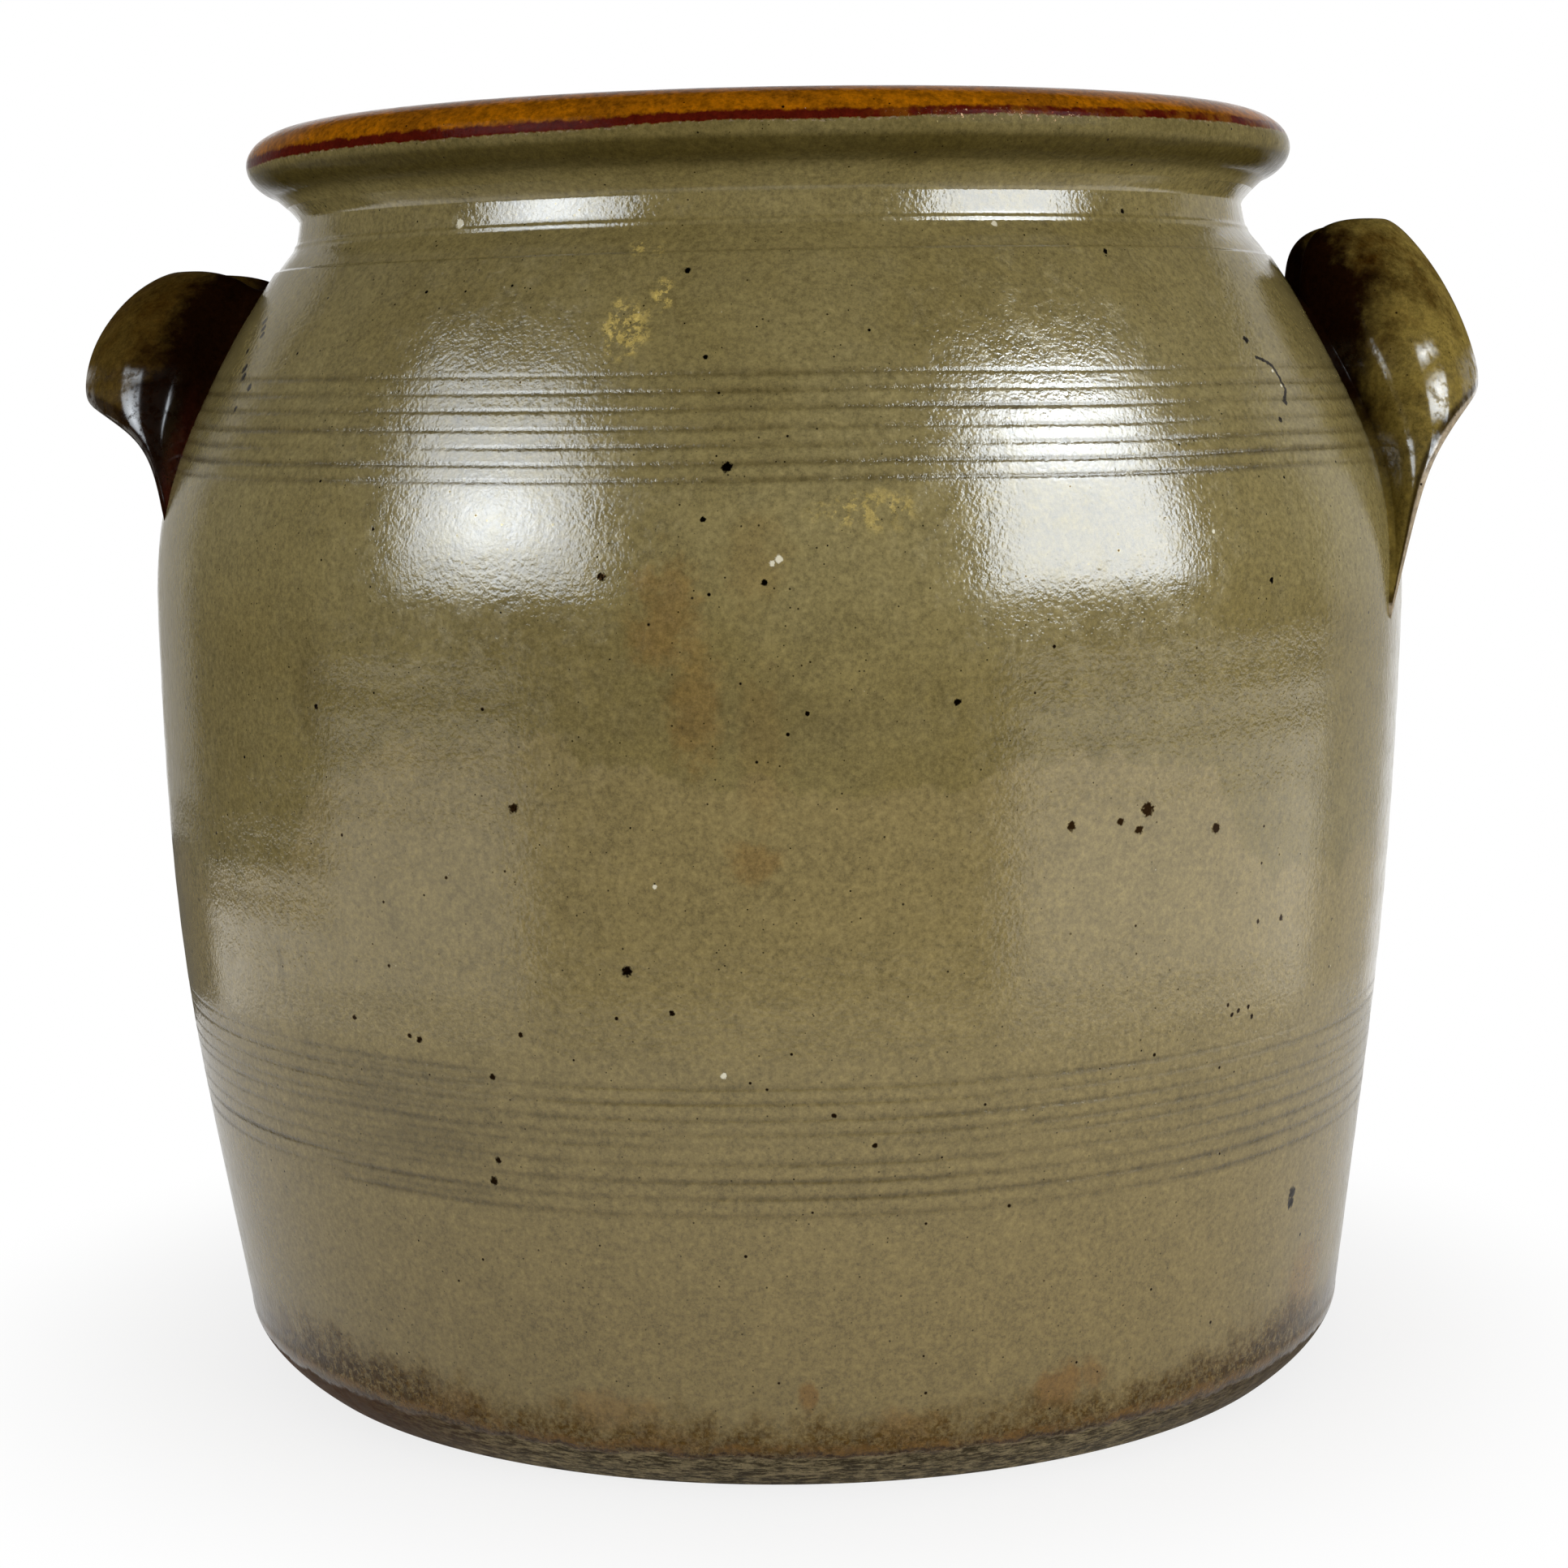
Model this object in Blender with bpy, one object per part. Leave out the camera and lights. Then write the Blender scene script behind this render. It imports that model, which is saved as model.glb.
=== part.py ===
"""Confit pot: a thrown stoneware crock with a rolled lip, two combed bands and two strap handles.

Metres, +Z up. The origin is the centre of the flat foot, and the handles stand on the X axis.
The real pot is three lumps of clay: the thrown pot, and a strap luted to each side of its shoulder.
"""

import math
from typing import NamedTuple

import bmesh
import bpy
import numpy as np
from mathutils import Vector

# Outer wall of the thrown pot, from the table up: each rise starts where the last one ends
FOOT_RADIUS = 0.1168
HEEL_RADIUS = 0.1261
HEEL_HEIGHT = 0.0130
HEEL_FULLNESS = 1.8
LOWER_WALL_RADIUS = 0.1307
LOWER_WALL_RISE = 0.0320
WALL_RADIUS = 0.1363
WALL_RISE = 0.0430
BELLY_RADIUS = 0.1402
BELLY_RISE = 0.0740
TURN_RADIUS = 0.1375
TURN_RISE = 0.0330
SHOULDER_RADIUS = 0.1264
SHOULDER_RISE = 0.0250
UPPER_SHOULDER_RADIUS = 0.1159
UPPER_SHOULDER_RISE = 0.0180
NECK_RADIUS = 0.1055
NECK_RISE = 0.0160

# Rolled lip, an oval in section that stands out from the neck
LIP_RISE = 0.0066
LIP_HEIGHT = 0.0154
LIP_OVERHANG = 0.0108
LIP_ROLL = 0.0118
LIP_LAND = 0.0040
LIP_INNER_ROUND = 0.0040
LIP_UNDERSIDE = math.radians(-60)

# Thickness of the clay
WALL_THICKNESS = 0.0090
FLOOR_THICKNESS = 0.0120
FLOOR_CORNER = 0.0240

# Tooled step where the neck meets the shoulder
LEDGE_BELOW_NECK = 0.0105
LEDGE_DEPTH = 0.0006

# Combed bands: the lower is measured up from the table, the upper down from the neck
LOWER_BAND_HEIGHT = 0.0594
LOWER_BAND_GROOVES = 9
UPPER_BAND_BELOW_NECK = 0.0532
UPPER_BAND_GROOVES = 7
GROOVE_PITCH = 0.0032
GROOVE_WIDTH = 0.0018
GROOVE_DEPTH = 0.0006

# Pulled straps: the section is a flat oval, and the powers say how squarely it is drawn
STRAP_THICKNESS = 0.0090
STRAP_EDGE_POWER = 0.8
STRAP_FACE_POWER = 0.7
FOOT_FLARE = 0.0045
FOOT_POWER = 4
TAIL_POWER = 5
LUTING_GAP = 0.0004
SEAT_OVERRUN = 0.0060

# Facets
SLOPE_STEP = 0.0010
SEGMENTS = 48
WALL_STEPS = 26
INNER_STEPS = 14
LIP_STEPS = 9
STRAP_STATIONS = 25
STRAP_SIDES = 20

# Colours and finish, linear RGB
BODY_GLAZE = (0.190, 0.152, 0.062)
HANDLE_GLAZE = (0.070, 0.045, 0.012)
GLAZE_ROUGHNESS = 0.22


class Edge(NamedTuple):
    """One long edge of a strap: its crown in the middle, and how it comes down on the wall."""

    below_neck: float
    standoff: float
    spread: float
    drop: float
    drop_power: float
    tail: float = 0.0
    sink: float = 0.0


class Strap(NamedTuple):
    """One handle, by its bearing round the pot and its two long edges."""

    name: str
    bearing: float
    camber: float
    upper: Edge
    lower: Edge


RIGHT_HANDLE = Strap(
    name="handle_right",
    bearing=0.0,
    camber=0.0020,
    upper=Edge(below_neck=0.0057, standoff=0.0284, spread=0.0189, drop=0.0185, drop_power=3.1),
    lower=Edge(
        below_neck=0.0364,
        standoff=0.0254,
        spread=0.0409,
        drop=0.0261,
        drop_power=1.0,
        tail=0.0196,
        sink=0.0001,
    ),
)
LEFT_HANDLE = Strap(
    name="handle_left",
    bearing=math.pi,
    camber=0.0042,
    upper=Edge(below_neck=0.0133, standoff=0.0214, spread=0.0202, drop=0.0061, drop_power=3.0),
    lower=Edge(
        below_neck=0.0350,
        standoff=0.0251,
        spread=0.0406,
        drop=0.0131,
        drop_power=1.0,
        tail=0.0180,
        sink=0.0029,
    ),
)

STATION_RADII = [
    HEEL_RADIUS,
    LOWER_WALL_RADIUS,
    WALL_RADIUS,
    BELLY_RADIUS,
    TURN_RADIUS,
    SHOULDER_RADIUS,
    UPPER_SHOULDER_RADIUS,
    NECK_RADIUS,
]
STATION_RISES = [
    HEEL_HEIGHT,
    LOWER_WALL_RISE,
    WALL_RISE,
    BELLY_RISE,
    TURN_RISE,
    SHOULDER_RISE,
    UPPER_SHOULDER_RISE,
    NECK_RISE,
]
STATION_HEIGHTS = [float(height) for height in np.cumsum(STATION_RISES)]
NECK_HEIGHT = STATION_HEIGHTS[-1]
LEDGE_HEIGHT = NECK_HEIGHT - LEDGE_BELOW_NECK
LIP_RADIUS = NECK_RADIUS + LIP_OVERHANG
LIP_MIDDLE = NECK_HEIGHT + LIP_RISE + LIP_HEIGHT / 2
LIP_TOP = LIP_MIDDLE + LIP_HEIGHT / 2


def clear_scene():
    for thing in list(bpy.data.objects):
        bpy.data.objects.remove(thing, do_unlink=True)


def spline_bends():
    """Second derivatives, at the stations, of the natural cubic spline through them."""
    steps = np.diff(STATION_HEIGHTS)
    slopes = np.diff(STATION_RADII) / steps
    count = len(STATION_HEIGHTS)
    system = np.eye(count)
    wanted = np.zeros(count)
    for i in range(1, count - 1):
        system[i, i - 1] = steps[i - 1]
        system[i, i] = 2 * (steps[i - 1] + steps[i])
        system[i, i + 1] = steps[i]
        wanted[i] = 6 * (slopes[i] - slopes[i - 1])
    return np.linalg.solve(system, wanted)


BENDS = spline_bends()


def wall_radius(height):
    """Outer radius of the plain wall between the heel and the neck, and held beyond them."""
    height = min(max(height, STATION_HEIGHTS[0]), STATION_HEIGHTS[-1])
    i = min(int(np.searchsorted(STATION_HEIGHTS, height, side="right")), len(BENDS) - 1)
    low = STATION_HEIGHTS[i - 1]
    step = STATION_HEIGHTS[i] - low
    up = (height - low) / step
    down = 1 - up
    bend = (up**3 - up) * BENDS[i] + (down**3 - down) * BENDS[i - 1]
    return float(up * STATION_RADII[i] + down * STATION_RADII[i - 1] + bend * step**2 / 6)


def wall_slope(height):
    """Change of the wall's radius with height."""
    nudge = SLOPE_STEP / 2
    return (wall_radius(height + nudge) - wall_radius(height - nudge)) / SLOPE_STEP


def groove_heights():
    lowest_upper = NECK_HEIGHT - UPPER_BAND_BELOW_NECK
    lower = [LOWER_BAND_HEIGHT + i * GROOVE_PITCH for i in range(LOWER_BAND_GROOVES)]
    upper = [lowest_upper + i * GROOVE_PITCH for i in range(UPPER_BAND_GROOVES)]
    return lower + upper


def wall_line(tooled):
    """(radius, height) up the outer wall from heel to neck, plain or with its grooves and ledge."""
    grooves = groove_heights()
    points = []
    for height in np.linspace(HEEL_HEIGHT, NECK_HEIGHT, WALL_STEPS):
        off_grooves = all(abs(height - groove) > GROOVE_WIDTH for groove in grooves)
        if off_grooves and abs(height - LEDGE_HEIGHT) > 2 * LEDGE_DEPTH:
            points.append((wall_radius(height), float(height)))
    for groove in grooves:
        for side in (-GROOVE_WIDTH / 2, GROOVE_WIDTH / 2):
            points.append((wall_radius(groove + side), groove + side))
        if tooled:
            points.append((wall_radius(groove) - GROOVE_DEPTH, groove))
    points.append((wall_radius(LEDGE_HEIGHT), LEDGE_HEIGHT))
    if tooled:
        step_top = LEDGE_HEIGHT + LEDGE_DEPTH
        points.append((wall_radius(step_top) - LEDGE_DEPTH, step_top))
    return sorted(points, key=lambda point: point[1])


def heel_line():
    """Rounded heel, from the edge of the flat foot up to the wall."""
    undercut = HEEL_RADIUS - FOOT_RADIUS
    points = []
    for share in (0.0, 0.1, 0.25, 0.45, 0.7):
        radius = HEEL_RADIUS - undercut * (1 - share) ** HEEL_FULLNESS
        points.append((radius, share * HEEL_HEIGHT))
    return points


def lip_point(angle):
    """Point on the oval of the lip: 0 is its outermost, a right angle its top."""
    centre = LIP_RADIUS - LIP_ROLL
    return Vector((centre + LIP_ROLL * math.cos(angle), LIP_MIDDLE + LIP_HEIGHT / 2 * math.sin(angle)))


def lip_line():
    """The lip, from the hollow above the neck, round its outside, to the flat land on top."""
    neck = Vector((NECK_RADIUS, NECK_HEIGHT))
    underside = lip_point(LIP_UNDERSIDE)
    pull = Vector((NECK_RADIUS, (underside.y + neck.y) / 2))
    points = []
    for share in (0.35, 0.7):
        hollow = neck * (1 - share) ** 2 + pull * 2 * share * (1 - share) + underside * share**2
        points.append(tuple(hollow))
    for angle in np.linspace(LIP_UNDERSIDE, math.pi / 2, LIP_STEPS):
        points.append(tuple(lip_point(angle)))
    return points


def inner_line():
    """The inside, from the land on the lip down to the middle of the floor."""
    land_edge = LIP_RADIUS - LIP_ROLL - LIP_LAND
    bore = NECK_RADIUS - WALL_THICKNESS
    points = [(land_edge, LIP_TOP)]
    for angle in np.radians((45, 90)):
        across = math.sin(angle)
        down = 1 - math.cos(angle)
        points.append((land_edge + (bore - land_edge) * across, LIP_TOP - LIP_INNER_ROUND * down))
    corner_top = FLOOR_THICKNESS + FLOOR_CORNER
    for height in np.linspace(NECK_HEIGHT, corner_top, INNER_STEPS):
        slope = wall_slope(height)
        inward = WALL_THICKNESS / math.hypot(1, slope)
        points.append((wall_radius(height) - inward, float(height) + inward * slope))
    wall_foot, rounding_top = points[-1]
    rounding = rounding_top - FLOOR_THICKNESS
    for angle in np.radians((30, 60, 90)):
        sideways = FLOOR_CORNER * (1 - math.cos(angle))
        points.append((wall_foot - sideways, rounding_top - rounding * math.sin(angle)))
    return points + [(0.0, FLOOR_THICKNESS)]


def turned(name, outline):
    """A solid of revolution: the outline starts and ends on the axis and is spun about Z."""
    shape = bmesh.new()
    points = [shape.verts.new((radius, 0.0, height)) for radius, height in outline]
    edges = [shape.edges.new(pair) for pair in zip(points, points[1:])]
    bmesh.ops.spin(
        shape,
        geom=points + edges,
        axis=(0, 0, 1),
        cent=(0, 0, 0),
        angle=2 * math.pi,
        steps=SEGMENTS,
    )
    bmesh.ops.remove_doubles(shape, verts=shape.verts, dist=1e-6)
    return finished(name, shape)


def finished(name, shape):
    """The object of a closed bmesh, facing out and shaded smooth between its crisp edges."""
    bmesh.ops.recalc_face_normals(shape, faces=shape.faces)
    mesh = bpy.data.meshes.new(name)
    shape.to_mesh(mesh)
    shape.free()
    mesh.shade_smooth()
    mesh.set_sharp_from_angle(angle=math.radians(40))
    thing = bpy.data.objects.new(name, mesh)
    bpy.context.scene.collection.objects.link(thing)
    return thing


def glaze(name, colour):
    material = bpy.data.materials.new(name)
    material.use_nodes = True
    shader = material.node_tree.nodes["Principled BSDF"]
    shader.inputs["Base Color"].default_value = (*colour, 1.0)
    shader.inputs["Roughness"].default_value = GLAZE_ROUGHNESS
    shader.inputs["Metallic"].default_value = 0.0
    material.diffuse_color = (*colour, 1.0)
    return material


def make_pot_body():
    outline = [(0.0, 0.0)] + heel_line() + wall_line(tooled=True) + lip_line() + inner_line()
    body = turned("pot_body", outline)
    body.data.materials.append(glaze("olive_salt_glaze", BODY_GLAZE))
    return body


def make_seat():
    """Cutter the size of the outer wall plus the luting gap, which shapes the strap's feet."""
    wall = [(radius + LUTING_GAP, height) for radius, height in wall_line(tooled=False)]
    seat = turned("seat_cutter", [(0.0, wall[0][1]), *wall, (0.0, wall[-1][1])])
    seat.hide_render = True
    seat.display_type = "WIRE"
    return seat


def on_wall(side, height):
    """How far out the wall lies at this side and height, along the middle of the strap."""
    return math.sqrt(wall_radius(height) ** 2 - side**2)


def edge_point(edge, turn):
    """Point on a long edge of the strap: turn runs from -90 at the front foot to 90 at the rear."""
    swing = math.cos(turn)
    landed = 1 - swing
    fall = edge.drop * landed**edge.drop_power + edge.tail * landed**TAIL_POWER
    height = NECK_HEIGHT - edge.below_neck - fall
    side = edge.spread * math.sin(turn)
    reach = on_wall(side, height) + edge.standoff * swing - edge.sink * landed**FOOT_POWER
    return Vector((reach, side, height))


def strap_ring(strap, turn, sunk):
    """Section of the strap: a flat oval, straight and bowed outwards in the middle of the strap.
    Towards a foot it thickens and leans on the wall's curve, and the last one is sunk into the wall."""
    upper = edge_point(strap.upper, turn)
    lower = edge_point(strap.lower, turn)
    across = (lower - upper).normalized()
    reach = strap.upper.standoff + strap.lower.standoff
    spread = strap.upper.spread + strap.lower.spread
    facing = Vector((math.cos(turn) / reach, math.sin(turn) / spread, 0)).normalized()
    outward = (facing - across * facing.dot(across)).normalized()
    upper_gap = upper.x - on_wall(upper.y, upper.z)
    lower_gap = lower.x - on_wall(lower.y, lower.z)
    swing = math.cos(turn)
    landed = 1 - swing
    half_long = (lower - upper).length / 2
    half_wide = half_long + STRAP_THICKNESS / 2
    half_thick = (STRAP_THICKNESS + FOOT_FLARE * landed**FOOT_POWER) / 2
    ring = []
    for i in range(STRAP_SIDES):
        angle = 2 * math.pi * i / STRAP_SIDES
        wide = math.copysign(abs(math.cos(angle)) ** STRAP_EDGE_POWER, math.cos(angle))
        thick = math.copysign(abs(math.sin(angle)) ** STRAP_FACE_POWER, math.sin(angle))
        bow = strap.camber * swing * (1 - wide**2)
        line = (upper + lower) / 2 + across * (wide * half_wide)
        share = min(max((1 + wide * half_wide / half_long) / 2, 0), 1)
        gap = upper_gap + (lower_gap - upper_gap) * share
        lean = (on_wall(line.y, line.z) + gap - line.x) * landed
        ring.append(line + outward * (thick * half_thick + bow) + Vector((lean - sunk, 0, 0)))
    return ring


def make_handle(strap, seat, material):
    turns = [(turn, 0.0) for turn in np.radians(np.linspace(-90, 90, STRAP_STATIONS))]
    stations = [(turns[0][0], SEAT_OVERRUN), *turns, (turns[-1][0], SEAT_OVERRUN)]
    shape = bmesh.new()
    rings = []
    for turn, sunk in stations:
        rings.append([shape.verts.new(point) for point in strap_ring(strap, float(turn), sunk)])
    for ring, following in zip(rings, rings[1:]):
        for i in range(STRAP_SIDES):
            j = (i + 1) % STRAP_SIDES
            shape.faces.new((ring[i], ring[j], following[j], following[i]))
    shape.faces.new(rings[0])
    shape.faces.new(rings[-1][::-1])
    handle = finished(strap.name, shape)
    handle.rotation_euler.z = strap.bearing
    handle.data.materials.append(material)
    foot_cut = handle.modifiers.new("foot_cut", "BOOLEAN")
    foot_cut.operation = "DIFFERENCE"
    foot_cut.solver = "EXACT"
    foot_cut.use_self = True
    foot_cut.object = seat
    return handle


def main():
    clear_scene()
    make_pot_body()
    seat = make_seat()
    iron_glaze = glaze("iron_brown_glaze", HANDLE_GLAZE)
    for strap in (RIGHT_HANDLE, LEFT_HANDLE):
        make_handle(strap, seat, iron_glaze)


main()
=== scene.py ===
# %% [markdown]
# A confit pot in salt-glazed stoneware
#
# The real pot is three lumps of clay: a body thrown on the wheel, and a pulled strap luted to each side of
# its shoulder. Salt thrown into the kiln glazed it olive, an iron wash turned the straps brown, and the lip
# was brushed with an amber slip. This lesson builds the three pieces again at the resolution of a potter's
# tools, inside the plainer CAD model, and then mixes their glazes from nodes.

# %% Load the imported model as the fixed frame
import math
from functools import partial

import bpy
import numpy as np
from mathutils import Matrix, Vector


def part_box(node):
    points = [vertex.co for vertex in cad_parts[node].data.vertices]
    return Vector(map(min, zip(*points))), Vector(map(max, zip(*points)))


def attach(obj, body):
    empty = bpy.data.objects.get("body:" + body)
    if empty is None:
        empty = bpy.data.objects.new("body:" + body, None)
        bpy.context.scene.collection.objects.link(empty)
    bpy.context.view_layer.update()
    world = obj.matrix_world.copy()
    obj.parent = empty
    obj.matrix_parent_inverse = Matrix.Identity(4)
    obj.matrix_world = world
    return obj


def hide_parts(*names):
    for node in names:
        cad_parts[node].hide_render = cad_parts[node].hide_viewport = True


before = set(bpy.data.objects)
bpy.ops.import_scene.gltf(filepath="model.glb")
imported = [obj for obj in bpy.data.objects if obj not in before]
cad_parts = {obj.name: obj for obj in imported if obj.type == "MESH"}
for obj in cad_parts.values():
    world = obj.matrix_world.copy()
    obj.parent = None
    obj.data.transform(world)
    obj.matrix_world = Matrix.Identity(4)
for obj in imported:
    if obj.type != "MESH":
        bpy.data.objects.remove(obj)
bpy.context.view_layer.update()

# %% [markdown]
# The camera
#
# A camera can be guessed by eye or worked out from ellipses: every circle of a thrown pot lies level, so the
# foot, the combed bands and the lip each show how high the lens was. That gave the place below. The pot is
# turned a little in the picture, so here the camera walks round it by the same angle.

# %% Set the camera where the photographer stood
CAMERA_DISTANCE = 0.7245
CAMERA_HEIGHT = 0.2213
CAMERA_TURN = math.radians(3.5)
CAMERA_HEADING = math.radians(3.46)
CAMERA_PITCH = math.radians(7.493)
CAMERA_ROLL = math.radians(-0.771)
CAMERA_LENS_MM = 72.45
SENSOR_WIDTH_MM = 36.0


def around(bearing, distance, height=0.0):
    """A point by its bearing round the pot, in degrees: 0 is the front and 90 is the right handle."""
    angle = math.radians(bearing)
    return Vector((distance * math.sin(angle), -distance * math.cos(angle), height))


def put(name, data):
    """A new object in the scene that holds this mesh, lens or light."""
    thing = bpy.data.objects.new(name, data)
    bpy.context.scene.collection.objects.link(thing)
    return thing


def make_camera():
    lens = bpy.data.cameras.new("camera")
    lens.lens = CAMERA_LENS_MM
    lens.sensor_width = SENSOR_WIDTH_MM
    camera = put("camera", lens)
    level = Matrix.Rotation(CAMERA_HEADING, 4, "Z") @ Matrix.Rotation(math.pi / 2 - CAMERA_PITCH, 4, "X")
    place = around(math.degrees(CAMERA_TURN), CAMERA_DISTANCE, CAMERA_HEIGHT)
    camera.matrix_world = Matrix.Translation(place) @ level @ Matrix.Rotation(CAMERA_ROLL, 4, "Z")
    bpy.context.scene.camera = camera
    return camera


camera = make_camera()
print("camera at", [round(side, 3) for side in camera.matrix_world.translation])

# %% [markdown]
# The thrown wall
#
# A turned form is known by one line, its profile. Drawing every millimetre of it would be a table of
# numbers, so the wall is a smooth curve through a few stations, as a potter's rib would touch it: heel,
# belly, turn, shoulder, neck. These are the CAD model's own stations, so both models share one wall.

# %% Draw the wall through its stations
MM = 0.001
_, pot_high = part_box("pot_body")
POT_HEIGHT = pot_high.z
FOOT_RADIUS = 116.8 * MM
HEEL_HEIGHT = 13.0 * MM
NECK_HEIGHT = 254.0 * MM
WALL_HEIGHTS = MM * np.array([13.0, 45.0, 88.0, 162.0, 195.0, 220.0, 238.0, 254.0])
WALL_RADII = MM * np.array([126.1, 130.7, 136.3, 140.2, 137.5, 126.4, 115.9, 105.5])


def spline(stations, values):
    """The natural cubic curve through some stations, as a function of place."""
    steps = np.diff(stations)
    count = len(stations)
    system = np.eye(count)
    wanted = np.zeros(count)
    for i in range(1, count - 1):
        system[i, i - 1 : i + 2] = (steps[i - 1], 2 * (steps[i - 1] + steps[i]), steps[i])
        wanted[i] = 6 * ((values[i + 1] - values[i]) / steps[i] - (values[i] - values[i - 1]) / steps[i - 1])
    bends = np.linalg.solve(system, wanted)

    def curve(place):
        place = np.clip(place, stations[0], stations[-1])
        i = np.clip(np.searchsorted(stations, place, side="right"), 1, count - 1)
        step = steps[i - 1]
        up = (place - stations[i - 1]) / step
        down = 1 - up
        bend = (up**3 - up) * bends[i] + (down**3 - down) * bends[i - 1]
        return up * values[i] + down * values[i - 1] + bend * step**2 / 6

    return curve


wall_radius = spline(WALL_HEIGHTS, WALL_RADII)
widest = float(wall_radius(np.linspace(0.1, 0.2, 200)).max())
print(f"widest wall {2000 * widest:.1f} mm across, CAD {2000 * pot_high.y:.1f} mm")

# %% [markdown]
# What the hands left
#
# No thrown pot is a perfect solid of revolution. This one leans by a millimetre or two from foot to lip, its
# lip tilts, and faint throwing rings spiral up the wall. Each is a small number added to a radius or a
# height, so the mesh carries it and the light finds it, with no bump map.

# %% Describe the lean, the tilt and the throwing rings
LEAN_HEIGHTS = MM * np.array([0.0, 20.0, 90.0, 200.0, 276.0])
LEAN_SIDEWAYS = MM * np.array([1.6, 1.1, -0.4, 0.2, -1.4])
LIP_TILT = math.radians(0.42)
TILT_STARTS = 225 * MM
THROWING_PITCH = 11 * MM
THROWING_DEPTH = 0.035 * MM
THROWING_WAVES = 3
THROWING_FADE_PITCH = 0.16
THROWING_MEAN = 0.6
THROWING_SWING = 0.4
HAND_SEED = 4
lean = spline(LEAN_HEIGHTS, LEAN_SIDEWAYS)


def smooth(low, high, value):
    """0 below low, 1 above high and a soft step between them."""
    share = np.clip((value - low) / (high - low), 0, 1)
    return share * share * (3 - 2 * share)


def hand_waver(bearings, ways, waves, pitch, seed=HAND_SEED):
    """A slow unevenness from -1 to 1 that closes on itself round the pot."""
    rng = np.random.default_rng(seed)
    total = 0.0
    for turns in range(1, waves + 1):
        climb = rng.uniform(-1, 1) * 2 * math.pi / pitch
        start = rng.uniform(0, 2 * math.pi)
        total = total + np.sin(turns * bearings + climb * ways + start) / math.sqrt(waves)
    return total


def throwing_rings(bearings, heights):
    """The spiral that the fingers leave, fading in and out up the wall."""
    spiral = np.sin(2 * math.pi * heights / THROWING_PITCH - bearings)
    swing = THROWING_SWING * hand_waver(bearings, heights, THROWING_WAVES, THROWING_FADE_PITCH)
    return THROWING_DEPTH * spiral * (THROWING_MEAN + swing)


print(f"lean {1000 * LEAN_SIDEWAYS.max():.1f} mm at the foot, lip tilt {math.degrees(LIP_TILT):.2f} degrees")

# %% [markdown]
# Combed bands, ledge and neck lines
#
# The potter held a toothed comb against the turning pot, once below the shoulder and twice near the foot,
# where the second stroke overlaps the first. Each tooth ploughs a groove and throws up a low burr on both
# sides. A groove is a bell curve in height, so a row of them is a short sum.

# %% Plough the grooves
UPPER_COMB = MM * np.array([200.8, 203.9, 207.1, 210.4, 214.0, 217.3, 220.5])
UPPER_TEETH = np.array([0.95, 1.0, 0.8, 0.75, 0.8, 0.7, 0.55])
LOWER_COMB = MM * np.array([59.4, 62.9, 66.3, 69.9, 73.5, 75.9, 78.9, 82.2, 85.2])
LOWER_TEETH = np.array([0.8, 0.9, 0.7, 0.5, 0.5, 0.6, 0.6, 0.7, 0.6])
FIRST_STROKE_DROP = 1.7 * MM
FIRST_STROKE_ENDS = math.radians(-20)
SECOND_STROKE_STARTS = math.radians(-40)
COMB_FADE = math.radians(5)
UPPER_DEPTH = 0.20 * MM
LOWER_DEPTH = 0.13 * MM
GROOVE_WIDTH = 0.36 * MM
POOL_WIDTH = 0.72 * MM
BURR_HEIGHT = 0.06
BURR_OFFSET = 1.7
BURR_WIDTH = 0.6
COMB_WAVER = 0.20 * MM
DRIFT_WAVES = 11
PRESS_WAVES = 9
PRESS_MEAN = 0.75
PRESS_SWING = 0.32
UPPER_SEED = 20
SECOND_STROKE_SEED = 40
FIRST_STROKE_SEED = 60


def groove(offset, width):
    """One comb tooth across its own width: -1 in the groove, with a low burr on each side."""
    cut = np.exp(-((offset / width) ** 2))
    burr = np.exp(-(((np.abs(offset) - BURR_OFFSET * width) / (BURR_WIDTH * width)) ** 2))
    return BURR_HEIGHT * burr - cut


def comb_stroke(bearings, heights, teeth, depths, seed, width):
    """A stroke of the comb, whose teeth waver together round the pot."""
    drift = COMB_WAVER * hand_waver(bearings, 0 * heights, DRIFT_WAVES, 1.0, seed)
    relief = 0.0
    for number, (tooth, depth) in enumerate(zip(teeth, depths)):
        swing = hand_waver(bearings, 0 * heights, PRESS_WAVES, 1.0, seed + number + 1)
        press = PRESS_MEAN + PRESS_SWING * swing
        relief = relief + depth * press * groove(heights - tooth - drift, width)
    return relief


def combed_bands(bearings, heights, width):
    """Relief of the upper band and of the lower one, in groove depths. The lower one is two strokes."""
    facing = (bearings + math.pi) % (2 * math.pi) - math.pi
    first = 1 - smooth(FIRST_STROKE_ENDS - COMB_FADE, FIRST_STROKE_ENDS, facing)
    first = first * smooth(-math.pi, -math.pi + COMB_FADE, facing)
    second = smooth(SECOND_STROKE_STARTS - COMB_FADE, SECOND_STROKE_STARTS + COMB_FADE, facing)
    upper = comb_stroke(bearings, heights, UPPER_COMB, UPPER_TEETH, UPPER_SEED, width)
    lower = comb_stroke(bearings, heights, LOWER_COMB, LOWER_TEETH, SECOND_STROKE_SEED, width)
    shifted = LOWER_COMB + FIRST_STROKE_DROP
    under = comb_stroke(bearings, heights, shifted, LOWER_TEETH, FIRST_STROKE_SEED, width)
    return upper, second * lower + first * under


print(len(UPPER_COMB), "grooves in the upper band and", len(LOWER_COMB), "in the lower one")

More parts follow.
